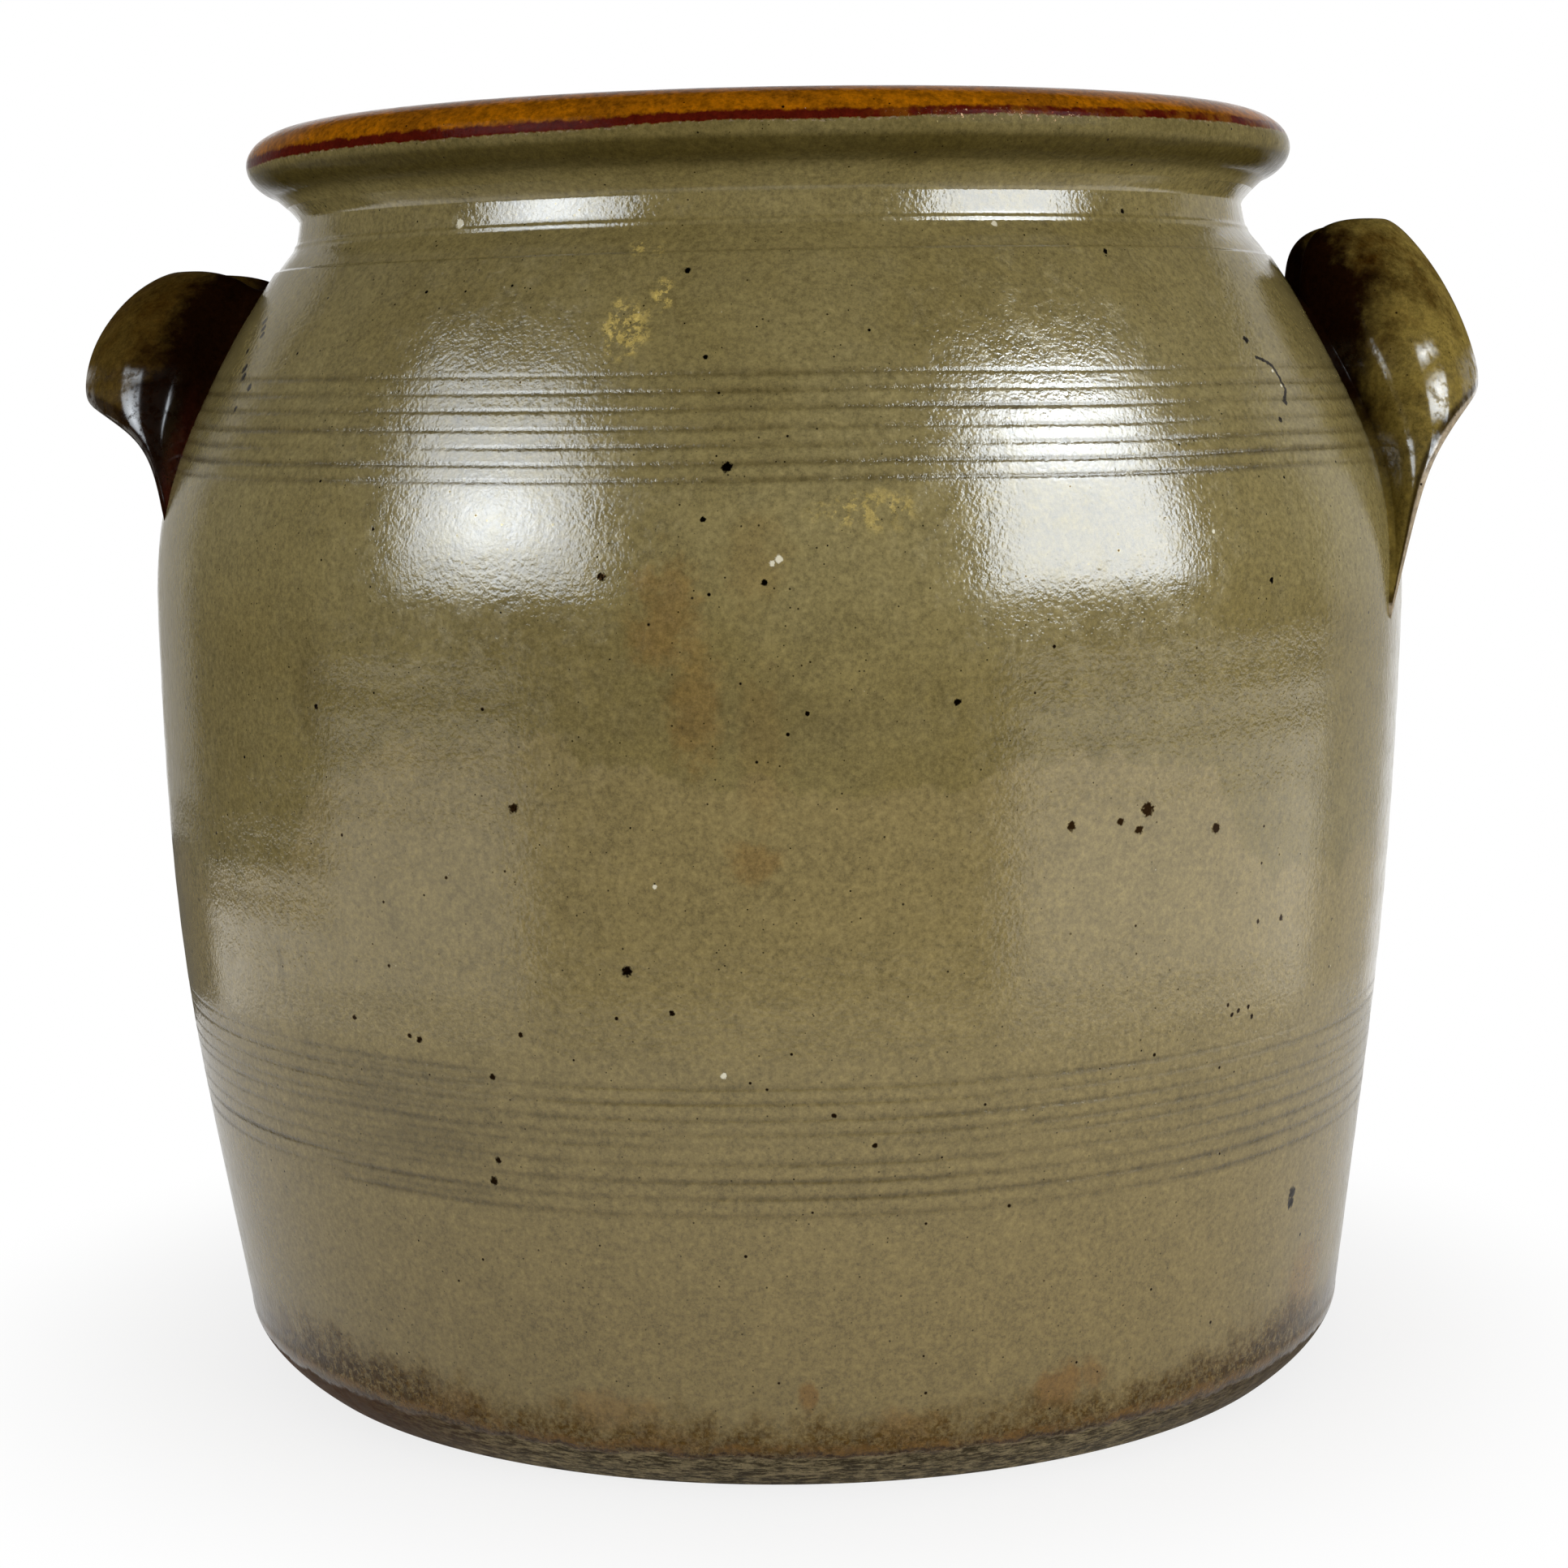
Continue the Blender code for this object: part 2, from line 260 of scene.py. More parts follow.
# %% Turn the ledge and the ridge of the neck
LEDGE_HEIGHT = 244.6 * MM
LEDGE_WAVER = 0.22 * MM
LEDGE_WAVES = 5
LEDGE_SEED = 9
LEDGE_FROM = -0.15 * MM
LEDGE_TO = 0.3 * MM
RIDGE_HEIGHT = 250.8 * MM
RIDGE_WIDTH = 0.5 * MM
RIDGE_PROUD = 0.2 * MM
NECK_TOP = 256.2 * MM
NECK_HEIGHTS = MM * np.array([239.0, 244.6, 247.5, 250.8, 253.0, 256.2])
NECK_RADII = MM * np.array([114.6, 111.1, 109.0, 106.6, 105.95, 105.4])
neck_radius = spline(NECK_HEIGHTS, NECK_RADII)


def neck_tooling(bearings, heights):
    """The undercut ledge that ends the shoulder, and the small ridge above it."""
    edge = LEDGE_HEIGHT + LEDGE_WAVER * hand_waver(bearings, 0 * heights, LEDGE_WAVES, 1.0, LEDGE_SEED)
    above = smooth(edge + LEDGE_FROM, edge + LEDGE_TO, heights)
    ridge = np.exp(-(((heights - RIDGE_HEIGHT) / RIDGE_WIDTH) ** 2))
    return RIDGE_PROUD * ridge + above * (neck_radius(heights) - wall_radius(heights))


print(f"ledge at {1000 * LEDGE_HEIGHT:.1f} mm, ridge at {1000 * RIDGE_HEIGHT:.1f} mm")

# %% [markdown]
# The outline of the clay
#
# One outline runs from the middle of the foot, up the outside, over the lip and down to the floor inside. A
# lathe modifier would do, but rows of points in an array let every row know how high it stands, so relief
# and glaze can be worked out for all of them at once. Rows are close together only where a tool touched.

# %% Lay out the rows of foot and wall
HEEL_RADIUS = float(WALL_RADII[0])
HEEL_FULLNESS = 1.8
PLAIN_STEP = 1.6 * MM
TOOLED_STEP = 0.2 * MM
TOOLED_STRETCHES = MM * np.array([[57.0, 89.0], [198.5, 222.5], [242.5, 256.2]])
UNDERSIDE_SHARES = (0.02, 0.3, 0.6, 0.85, 0.97, 1.0)
HEEL_ROWS = 32


def wall_rows():
    """Heights of the rows from heel to neck, dense where the comb and the turning tool went."""
    heights = [HEEL_HEIGHT]
    while heights[-1] < NECK_TOP - TOOLED_STEP:
        tooled = any(low <= heights[-1] <= high for low, high in TOOLED_STRETCHES)
        heights.append(heights[-1] + (TOOLED_STEP if tooled else PLAIN_STEP))
    return np.array(heights[:-1] + [NECK_TOP])


def foot_rows():
    """(radius, height) over the flat underside and round the trimmed heel."""
    underside = [(radius * FOOT_RADIUS, 0.0) for radius in UNDERSIDE_SHARES]
    shares = np.linspace(0, 1, HEEL_ROWS + 2)[1:-1]
    heel = HEEL_RADIUS - (HEEL_RADIUS - FOOT_RADIUS) * (1 - shares) ** HEEL_FULLNESS
    return underside + list(zip(heel, shares * HEEL_HEIGHT))


print("heel and wall have", HEEL_ROWS + len(wall_rows()), "rows")

# %% Lay out the rows of the lip
LIP_MIDDLE = 268.3 * MM
LIP_HALF_HEIGHT = 7.7 * MM
LIP_RADIUS = 116.3 * MM
LIP_ROLL = 11.8 * MM
LIP_LAND = 4.0 * MM
LIP_UNDERSIDE = math.radians(-60)
LIP_DROP = 0.8 * MM
NECK_CORNER = 1.3 * MM
HOLLOW_ROWS = 12
ROLL_ROWS = 54


def lip_rows():
    """(radius, height) from the hollow above the neck, round the rolled lip, to the land on its top."""
    middle = LIP_RADIUS - LIP_ROLL
    turns = np.linspace(LIP_UNDERSIDE, math.pi / 2, ROLL_ROWS)
    roll = [(middle + LIP_ROLL * math.cos(t), LIP_MIDDLE + LIP_HALF_HEIGHT * math.sin(t)) for t in turns]
    neck = Vector((NECK_RADII[-1], NECK_TOP))
    under = Vector(roll[0])
    pull = Vector((neck.x, neck.y + NECK_CORNER))
    hollow = []
    for share in np.linspace(0, 1, HOLLOW_ROWS + 2)[1:-1]:
        hollow.append(tuple(neck * (1 - share) ** 2 + pull * 2 * share * (1 - share) + under * share**2))
    return hollow + roll


print("the lip rolls out to", round(2000 * LIP_RADIUS, 1), "mm across")

# %% Lay out the rows inside and join them all
LIP_INNER_ROUND = 4.0 * MM
WALL_THICKNESS = 9.0 * MM
FLOOR_THICKNESS = 12.0 * MM
FLOOR_CORNER = 24.0 * MM
FLOOR_SHARES = (0.75, 0.5, 0.25, 0.03)
INNER_ROUND_ROWS = 7
BORE_ROWS = 60
CORNER_ROWS = 11


def inside_rows():
    """(radius, height) from the land down the bore and wall, round the corner and over the floor."""
    land_edge = LIP_RADIUS - LIP_ROLL - LIP_LAND
    bore = WALL_RADII[-1] - WALL_THICKNESS
    rows = [(land_edge + LIP_LAND / 2, POT_HEIGHT), (land_edge, POT_HEIGHT)]
    for turn in np.linspace(0, math.pi / 2, INNER_ROUND_ROWS + 1)[1:]:
        drop = LIP_INNER_ROUND * (1 - math.cos(turn))
        rows.append((land_edge + (bore - land_edge) * math.sin(turn), POT_HEIGHT - drop))
    corner_top = FLOOR_THICKNESS + FLOOR_CORNER
    for height in np.linspace(NECK_HEIGHT, corner_top, BORE_ROWS):
        slope = float(wall_radius(height + MM / 2) - wall_radius(height - MM / 2)) / MM
        inward = WALL_THICKNESS / math.hypot(1, slope)
        rows.append((float(wall_radius(height)) - inward, float(height) + inward * slope))
    wall_foot, top = rows[-1]
    for turn in np.linspace(0, math.pi / 2, CORNER_ROWS + 1)[1:]:
        inward = FLOOR_CORNER * (1 - math.cos(turn))
        rows.append((wall_foot - inward, top - (top - FLOOR_THICKNESS) * math.sin(turn)))
    edge = rows[-1][0]
    return rows + [(edge * share, FLOOR_THICKNESS) for share in FLOOR_SHARES]


foot, lip, inside = foot_rows(), lip_rows(), inside_rows()
wall = [(float(wall_radius(height)), height) for height in wall_rows()]
outline = np.array(foot + wall + lip + inside)
lip_start = len(foot) + len(wall)
inside_start = lip_start + len(lip)
print(len(outline), "rows from foot to floor")

# %% [markdown]
# The body's mesh
#
# The rows are swept round the axis as a grid of points. The relief is added to each point's radius, and the
# whole pot then gets its lean and its tilted lip. What a glaze needs to know later, such as how deep the
# comb went or how far up the lip a point is, is stored on the mesh, and its material reads it there.

# %% Build a skin from a grid of points
SEGMENTS = 336
CREASE_ANGLE = math.radians(48)
GLAZE_SETBACK = 0.07 * MM
LOWER_SHOWS = 1.25
POOL_LIMIT = 1.5
INSIDE_FADE = 30 * MM


def mesh_from(name, points, faces):
    mesh = bpy.data.meshes.new(name)
    mesh.from_pydata(points, [], faces)
    return mesh


def set_mark(mesh, mark, values):
    """Stores one value for each point of a mesh, for its material to read."""
    attribute = mesh.attributes.new(mark, "FLOAT", "POINT")
    attribute.data.foreach_set("value", np.asarray(values, np.float32).ravel())


def skin(name, points, marks):
    """A closed, smooth mesh from rows of points that each close on themselves, with its attributes."""
    rows, round_about, _ = points.shape
    index = np.arange(rows * round_about).reshape(rows, round_about)
    ahead = np.roll(index, -1, axis=1)
    quads = np.stack([index[:-1], ahead[:-1], ahead[1:], index[1:]], axis=-1).reshape(-1, 4)
    caps = [index[0][::-1].tolist(), index[-1].tolist()]
    mesh = mesh_from(name, points.reshape(-1, 3).tolist(), quads.tolist() + caps)
    mesh.update()
    mesh.shade_smooth()
    mesh.set_sharp_from_angle(angle=CREASE_ANGLE)
    for mark, values in marks.items():
        set_mark(mesh, mark, np.broadcast_to(values, (rows, round_about)))
    return put(name, mesh)


def settle(points, tilt=1.0):
    """Leans the pot and tilts its lip, as the hands left them."""
    moved = points.copy()
    tilting = tilt * smooth(TILT_STARTS, NECK_HEIGHT, points[..., 2])
    moved[..., 0] += lean(points[..., 2])
    moved[..., 2] += tilting * (math.tan(LIP_TILT) * points[..., 0] - LIP_DROP)
    return moved


print("each row has", SEGMENTS, "points")

# %% Sweep the outline round
bearings = np.linspace(0, 2 * math.pi, SEGMENTS, endpoint=False)[None, :]
heights = np.repeat(outline[:, 1:2], SEGMENTS, axis=1)
ways = np.concatenate([[0], np.cumsum(np.hypot(*np.diff(outline, axis=0).T))])
is_outside = np.zeros((len(outline), 1))
is_outside[len(foot) : lip_start] = 1
upper_band, lower_band = combed_bands(bearings, heights, GROOVE_WIDTH)
upper_pool, lower_pool = combed_bands(bearings, heights, POOL_WIDTH)
relief = UPPER_DEPTH * upper_band + LOWER_DEPTH * lower_band + throwing_rings(bearings, heights)
relief = relief + neck_tooling(bearings, heights) - GLAZE_SETBACK
radii = outline[:, 0:1] + relief * is_outside
body_points = np.stack([radii * np.sin(bearings), -radii * np.cos(bearings), heights], axis=-1)
lip_outermost = lip_start + int(np.argmax(outline[lip_start:inside_start, 0]))
body_marks = {
    "comb": np.clip(-upper_pool - LOWER_SHOWS * lower_pool, 0, POOL_LIMIT) * is_outside,
    "rise": np.where(np.arange(len(outline))[:, None] < inside_start, heights, POT_HEIGHT),
    "lip_way": (ways - ways[lip_outermost])[:, None],
    "inside": smooth(0, INSIDE_FADE, ways - ways[inside_start])[:, None],
    "bearing_x": np.sin(bearings),
}
pot = skin("thrown_pot", settle(body_points), body_marks)
print("thrown pot:", len(pot.data.vertices), "points,", len(pot.data.polygons), "faces")

# %% [markdown]
# The straps
#
# Each handle is a pulled strap that stands out from the shoulder like an ear and comes down on the wall in
# two feet. It is known by its two long edges, so the law of the CAD model is used again: an edge swings from
# the front foot, over its crown, to the rear foot, and the section is a flat oval between the edges. The
# finer mesh adds what fingers do, a hollow along the legs and a smear of clay where each foot meets the pot.

# %% Describe the edges of a strap
STRAP_THICKNESS = 9.0 * MM
EDGE_POWER = 0.8
FACE_POWER = 0.7
SQUARENESS = 3.0
FOOT_FLARE = 2.5 * MM
FOOT_POWER = 4
TAIL_POWER = 5
SMEAR = 1.4 * MM
SMEAR_REACH = 5.0 * MM
FOOT_SINK = 3.0 * MM
DENT_DEPTH = 0.28 * MM
DENT_PITCH = 17 * MM
DENT_WAVES = 7
DENT_MEAN = 0.5
DENT_SWING = 0.25
DENT_LIMIT = 2
STATIONS = 121
SIDES = 96
TURN_SAMPLES = 20001

# Edges and heights are in millimetres. A stretch of shine goes from one height to another and from one place
# across the strap to another, and its last value is its strength. Across, -1 is the upper edge, 1 the lower.
RIGHT_STRAP = {
    "name": "strap_right",
    "node": "handle_right",
    "side": 1,
    "camber": 2.0 * MM,
    "hollow": 0.3 * MM,
    "wash": 0.0,
    "rim_reflection": 1.0,
    "shine": [(209, 230, 0.64, 0.97, 1.0), (219, 225, -0.6, 0.4, 0.7), (196, 205, -0.2, 1.0, 1.0)],
    "upper": dict(below=5.7, standoff=28.3, spread=18.9, drop=18.5, power=3.1, tail=0.0, sink=0.0),
    "lower": dict(below=36.4, standoff=25.3, spread=40.9, drop=26.1, power=1.0, tail=19.6, sink=0.1),
}
LEFT_STRAP = {
    "name": "strap_left",
    "node": "handle_left",
    "side": -1,
    "camber": 4.2 * MM,
    "hollow": 0.3 * MM,
    "wash": 0.75,
    "rim_reflection": 0.0,
    "shine": [(196, 219, 0.35, 1.0, 0.8), (220.5, 223, 0.2, 0.9, 1.0)],
    "upper": dict(below=13.3, standoff=21.3, spread=20.2, drop=6.1, power=3.0, tail=0.0, sink=0.0),
    "lower": dict(below=35.0, standoff=25.0, spread=40.6, drop=13.1, power=1.0, tail=18.0, sink=2.9),
}


def on_wall(side, height):
    """How far out the wall lies at this side and height, along the middle of the strap."""
    return np.sqrt(wall_radius(height) ** 2 - side**2)


def plan_place(turn):
    """The strap seen from above, as shares of its reach and of its spread: a rounded square corner."""
    swing = np.cos(turn)
    return swing, np.sign(turn) * (1 - swing**SQUARENESS) ** (1 / SQUARENESS)


def edge_line(edge, turn):
    """Points on a long edge: turn runs from -90 degrees at the front foot to 90 at the rear one."""
    swing, aside = plan_place(turn)
    landed = 1 - swing
    fall = edge["drop"] * landed ** edge["power"] + edge["tail"] * landed**TAIL_POWER
    height = NECK_HEIGHT - MM * (edge["below"] + fall)
    side = MM * edge["spread"] * aside
    reach = on_wall(side, height) + MM * (edge["standoff"] * swing - edge["sink"] * landed**FOOT_POWER)
    return np.stack([reach, side, height], axis=-1)


for strap in (RIGHT_STRAP, LEFT_STRAP):
    crown = edge_line(strap["lower"], np.zeros(1))[0]
    print(strap["name"], "stands out to", round(1000 * float(crown[0]), 1), "mm")

# %% Space the rings evenly along a strap
FEET_TURN = math.pi / 2


def unit(vectors):
    return vectors / np.linalg.norm(vectors, axis=-1, keepdims=True)


def even_turns(strap):
    """Turns at which rings of the strap lie evenly spaced along it."""
    turn = np.linspace(-FEET_TURN, FEET_TURN, TURN_SAMPLES)
    steps = np.linalg.norm(np.diff(edge_line(strap["upper"], turn), axis=0), axis=1)
    steps = steps + np.linalg.norm(np.diff(edge_line(strap["lower"], turn), axis=0), axis=1)
    way = np.concatenate([[0], np.cumsum(steps)])
    return np.interp(np.linspace(0, way[-1], STATIONS), way, turn)


print(STATIONS, "rings along each strap")

# %% Say where the wash is glossy
DULL_GLOSS = 0.015
SHINE_EDGE = 1.6 * MM
SHINE_STARTS = (-0.15, 0.05)
SHINE_ENDS = (-0.02, 0.02)


def shine_on(strap, across, rise):
    """How glossy the strap is at each point: full in some stretches, dull where the wash fired dry."""
    gloss = DULL_GLOSS
    for low, high, from_edge, to_edge, strength in strap["shine"]:
        here = smooth(low * MM - SHINE_EDGE, low * MM + SHINE_EDGE, rise)
        here = here * (1 - smooth(high * MM - SHINE_EDGE, high * MM + SHINE_EDGE, rise))
        here = here * smooth(from_edge + SHINE_STARTS[0], from_edge + SHINE_STARTS[1], across)
        here = here * (1 - smooth(to_edge + SHINE_ENDS[0], to_edge + SHINE_ENDS[1], across))
        gloss = np.maximum(gloss, strength * here)
    return gloss


for strap in (RIGHT_STRAP, LEFT_STRAP):
    print(strap["name"], "has", len(strap["shine"]), "glossy stretches")

# %% Loft the straps
def loft(strap):
    """Rings of the strap from its front foot to its rear one, and where each point lies across it."""
    turn = even_turns(strap)
    upper = edge_line(strap["upper"], turn)
    lower = edge_line(strap["lower"], turn)
    swing, aside = (share[:, None] for share in plan_place(turn))
    landed = 1 - swing
    across = unit(lower - upper)
    reach = strap["upper"]["standoff"] + strap["lower"]["standoff"]
    span = strap["upper"]["spread"] + strap["lower"]["spread"]
    steepness = SQUARENESS - 1
    sideways = np.sign(aside) * np.abs(aside) ** steepness / span
    facing = unit(np.concatenate([swing**steepness / reach, sideways, 0 * swing], axis=-1))
    outward = unit(facing - across * (facing * across).sum(-1, keepdims=True))
    upper_gap = (upper[:, 0] - on_wall(upper[:, 1], upper[:, 2]))[:, None]
    lower_gap = (lower[:, 0] - on_wall(lower[:, 1], lower[:, 2]))[:, None]
    half_long = np.linalg.norm(lower - upper, axis=1)[:, None] / 2
    gap_here = MM * reach / 2 * swing
    smear = SMEAR * np.clip(1 - gap_here / SMEAR_REACH, 0, 1) ** 2
    half_wide = half_long + STRAP_THICKNESS / 2 + smear
    half_thick = (STRAP_THICKNESS + FOOT_FLARE * landed**FOOT_POWER) / 2 + smear
    angle = np.linspace(0, 2 * math.pi, SIDES, endpoint=False)[None, :]
    wide = np.sign(np.cos(angle)) * np.abs(np.cos(angle)) ** EDGE_POWER
    thick = np.sign(np.sin(angle)) * np.abs(np.sin(angle)) ** FACE_POWER
    bow = (strap["camber"] * swing - strap["hollow"] * landed) * (1 - wide**2)
    line = ((upper + lower) / 2)[:, None] + across[:, None] * (wide * half_wide)[..., None]
    along = np.clip((1 + wide * half_wide / half_long) / 2, 0, 1)
    gap = upper_gap + (lower_gap - upper_gap) * along
    leaning = (on_wall(line[..., 1], line[..., 2]) + gap - line[..., 0]) * landed
    along_it = turn[:, None] * reach * MM
    dents = hand_waver(angle, along_it, DENT_WAVES, DENT_PITCH, HAND_SEED + strap["side"])
    dents = DENT_MEAN + DENT_SWING * np.clip(dents, -DENT_LIMIT, DENT_LIMIT)
    bow = bow - DENT_DEPTH * dents * np.clip(thick, 0, 1)
    points = line + outward[:, None] * (thick * half_thick + bow)[..., None]
    points[..., 0] += leaning
    sunk = points[[0, -1]].copy()
    sunk[..., 0] -= FOOT_SINK
    rings = np.concatenate([sunk[:1], points, sunk[1:]])
    marks = {
        "across": np.repeat(wide, STATIONS + 2, axis=0),
        "gloss": shine_on(strap, wide, rings[..., 2]),
        "foot": np.concatenate([[1], landed[:, 0], [1]])[:, None],
        "wash": np.full((STATIONS + 2, 1), strap["wash"]),
        "rim_reflection": np.full((STATIONS + 2, 1), strap["rim_reflection"]),
    }
    return rings, marks


def make_strap(strap):
    rings, marks = loft(strap)
    rings[..., :2] *= strap["side"]
    return skin(strap["name"], settle(rings, tilt=0.0), marks)


straps = {}
for strap in (RIGHT_STRAP, LEFT_STRAP):
    straps[strap["name"]] = make_strap(strap)
    print(strap["name"], "has", len(straps[strap["name"]].data.polygons), "faces")

# %% [markdown]
# Small tools for mixing glazes
#
# A material is a graph of nodes, and most of its lines only add a node and wire it. A few short helpers keep
# the recipes readable: sums, a soft step from one range to another, one colour laid on another, and noise. A
# socket knows its own tree, so a helper that is given one needs no tree.

# %% Add, join and sum
def is_socket(value):
    return isinstance(value, bpy.types.NodeSocket)


def join(value, socket):
    """Wires a socket to an input, or sets the input to a plain value."""
    if is_socket(value):
        socket.id_data.links.new(value, socket)
    else:
        socket.default_value = value


def add(tree, kind, settings=None, **inputs):
    """Adds a node. Settings are its properties, and inputs are values or sockets by the input's name."""
    made = tree.nodes.new(kind)
    for name, value in (settings or {}).items():
        setattr(made, name, value)
    for name, value in inputs.items():
        join(value, made.inputs[name.replace("_", " ")])
    return made


def chain(kind, settings, *values):
    """Adds a node beside the sockets that it is given, and fills its inputs in their order."""
    tree = next(value.id_data for value in values if is_socket(value))
    made = add(tree, kind, settings)
    for value, socket in zip(values, made.inputs):
        join(value, socket)
    return made


def calc(operation, *values, clamp=False):
    """A sum of one, two or three values."""
    return chain("ShaderNodeMath", {"operation": operation, "use_clamp": clamp}, *values).outputs[0]


def vector(operation, *values):
    """A sum of points. A length or a distance comes out as a value."""
    made = chain("ShaderNodeVectorMath", {"operation": operation}, *values)
    return made.outputs["Value" if operation in ("LENGTH", "DISTANCE") else "Vector"]


times = partial(calc, "MULTIPLY")
times_plus = partial(calc, "MULTIPLY_ADD")
plus = partial(calc, "ADD")
minus = partial(calc, "SUBTRACT")
larger = partial(calc, "MAXIMUM")
smaller = partial(calc, "MINIMUM")
print("a node can be added, joined and summed")

# %% Spread, lay and shade
# Where a mix node holds its two values and its two colours, and the mixed colour
MIX_VALUES = (2, 3)
MIX_COLOURS = (6, 7)
MIXED_COLOUR = 2


def spread(value, low, high, to_low=0.0, to_high=1.0):
    """A soft step of a value from one range to another."""
    settings = {"interpolation_type": "SMOOTHSTEP"}
    return chain("ShaderNodeMapRange", settings, value, low, high, to_low, to_high).outputs[0]


def fade(value, low, high):
    """The same step the other way: 1 below and 0 above."""
    return spread(value, low, high, 1.0, 0.0)


def lay(mask, under, over):
    """One colour laid over another, as far as a mask says."""
    made = add(mask.id_data, "ShaderNodeMix", {"data_type": "RGBA"})
    join(mask, made.inputs[0])
    for colour, place in zip((under, over), MIX_COLOURS):
        join(colour if is_socket(colour) else (*colour, 1.0), made.inputs[place])
    return made.outputs[MIXED_COLOUR]


def shade(colour, factor):
    """A colour made lighter or darker by a factor."""
    made = chain("ShaderNodeVectorMath", {"operation": "SCALE"}, colour)
    join(factor, made.inputs["Scale"])
    return made.outputs[0]


def mark_on(tree, name):
    """A value stored on the mesh."""
    return add(tree, "ShaderNodeAttribute", {"attribute_name": name}).outputs["Fac"]


def clay_place(tree):
    """The point of the clay, in metres."""
    return add(tree, "ShaderNodeTexCoord").outputs["Object"]


def cloud(tree, size, detail=2.0, roughness=0.5, offset=(0, 0, 0)):
    """Noise from 0 to 1 whose lumps are about this size, in metres. An offset keeps masks from matching."""
    place = vector("ADD", clay_place(tree), offset)
    noise = add(tree, "ShaderNodeTexNoise", Vector=place, Scale=1 / size, Detail=detail, Roughness=roughness)
    return noise.outputs["Fac"]


def ripple(tree, *cloud_values):
    """The same noise around 0, from -0.5 to 0.5."""
    return minus(cloud(tree, *cloud_values), 0.5)


def wander(tree, size, reach, offset, detail=4.0):
    """Noise as a distance, in metres: how far a border strays to each side."""
    return times(ripple(tree, size, detail, 0.65, offset), 2 * reach)


def mottled(tree, size, detail, roughness, offset, low, high, to_low=0.0, to_high=1.0):
    """Noise as a mask: lumps of this size, a soft step from low to high, and the value on each side."""
    return spread(cloud(tree, size, detail, roughness, offset), low, high, to_low, to_high)


print("masks can be spread, and colours laid and shaded")

# %% [markdown]
# Effects that every glaze here shares
#
# Salt glaze has a skin like an orange, and under it the clay shows as fine grain. Iron in the clay bleeds
# through as specks, and tiny pits leave pale pins, painted as glints. Body, lip and straps all have them, so
# each effect is a node group with named inputs, built once. A group hands out masks and heights only, never
# a shader.

# %% Build the groups
PEEL_SIZE = 3.2 * MM
GRAIN_CLOUDS = (34 * MM, 3.0, 0.55, (7, 4, 1), 0.32, 0.68)

# Name, size of a cell, share of the cells that hold a mark, least and widest mark
SPECK_FAMILIES = [
    ("Specks", 1.5 * MM, 0.50, 0.10 * MM, 0.28 * MM),
    ("Freckles", 4.2 * MM, 0.50, 0.20 * MM, 0.50 * MM),
    ("Glint_pins", 5.5 * MM, 0.30, 0.12 * MM, 0.30 * MM),
]


def group(name, inputs, outputs):
    """An empty node group with float sockets, and its two end nodes."""
    tree = bpy.data.node_groups.new(name, "ShaderNodeTree")
    for socket, value in inputs.items():
        made = tree.interface.new_socket(name=socket, in_out="INPUT", socket_type="NodeSocketFloat")
        made.default_value = value
    for socket in outputs:
        tree.interface.new_socket(name=socket, in_out="OUTPUT", socket_type="NodeSocketFloat")
    return tree, tree.nodes.new("NodeGroupInput"), tree.nodes.new("NodeGroupOutput")


def build_grain():
    """Clay grain: a tone around 1, broad clouds from 0 to 1, and the fine part again for relief."""
    tree, start, end = group("clay_grain", {"Fine": 0.1, "Cloudy": 0.1}, ["Tone", "Clouds", "Relief"])
    fine = ripple(tree, 1.3 * MM, 3.0, 0.85)
    middling = ripple(tree, 9 * MM, 4.0, 0.7, (3, 1, 2))
    tone = times_plus(fine, times(start.outputs["Fine"], 4.0), 1.0)
    tone = times_plus(middling, times(start.outputs["Cloudy"], 2.0), tone)
    join(tone, end.inputs["Tone"])
    join(mottled(tree, *GRAIN_CLOUDS), end.inputs["Clouds"])
    join(fine, end.inputs["Relief"])
    return tree


def build_specks():
    """Iron specks, freckles and pale pins painted as glints: Voronoi cells, of which only some hold a round
    mark.
    """
    tree, start, end = group("iron_specks", {"Amount": 1.0}, [family[0] for family in SPECK_FAMILIES])
    for number, (name, cell, share, least, widest_mark) in enumerate(SPECK_FAMILIES):
        place = vector("ADD", clay_place(tree), (number, 2 * number, 3 * number))
        cells = add(tree, "ShaderNodeTexVoronoi", Vector=place, Scale=1 / cell)
        dice = add(tree, "ShaderNodeSeparateColor", Color=cells.outputs["Color"])
        chosen = calc("LESS_THAN", dice.outputs["Red"], times(start.outputs["Amount"], share))
        size = times(dice.outputs["Green"], dice.outputs["Green"])
        size = times_plus(size, (widest_mark - least) / cell, least / cell)
        near = fade(cells.outputs["Distance"], times(size, 0.5), size)
        join(times(near, chosen), end.inputs[name])
    return tree


def build_peel():
    """The orange-peel skin of salt glaze, as a height from 0 to 1."""
    tree, start, end = group("salt_peel", {"Coarse": 0.5}, ["Height"])
    coarse = cloud(tree, PEEL_SIZE, 2.0, 0.55, (2, 5, 8))
    fine = cloud(tree, PEEL_SIZE / 4, 1.0, 0.5, (6, 2, 4))
    made = tree.nodes.new("ShaderNodeMix")
    join(start.outputs["Coarse"], made.inputs[0])
    for value, place in zip((fine, coarse), MIX_VALUES):
        join(value, made.inputs[place])
    join(made.outputs[0], end.inputs["Height"])
    return tree


GROUPS = {"grain": build_grain(), "specks": build_specks(), "peel": build_peel()}


def use(tree, group_name, **inputs):
    """Places a shared group in a material with its own values."""
    return add(tree, "ShaderNodeGroup", {"node_tree": GROUPS[group_name]}, **inputs)


print("groups:", ", ".join(made.name for made in GROUPS.values()))

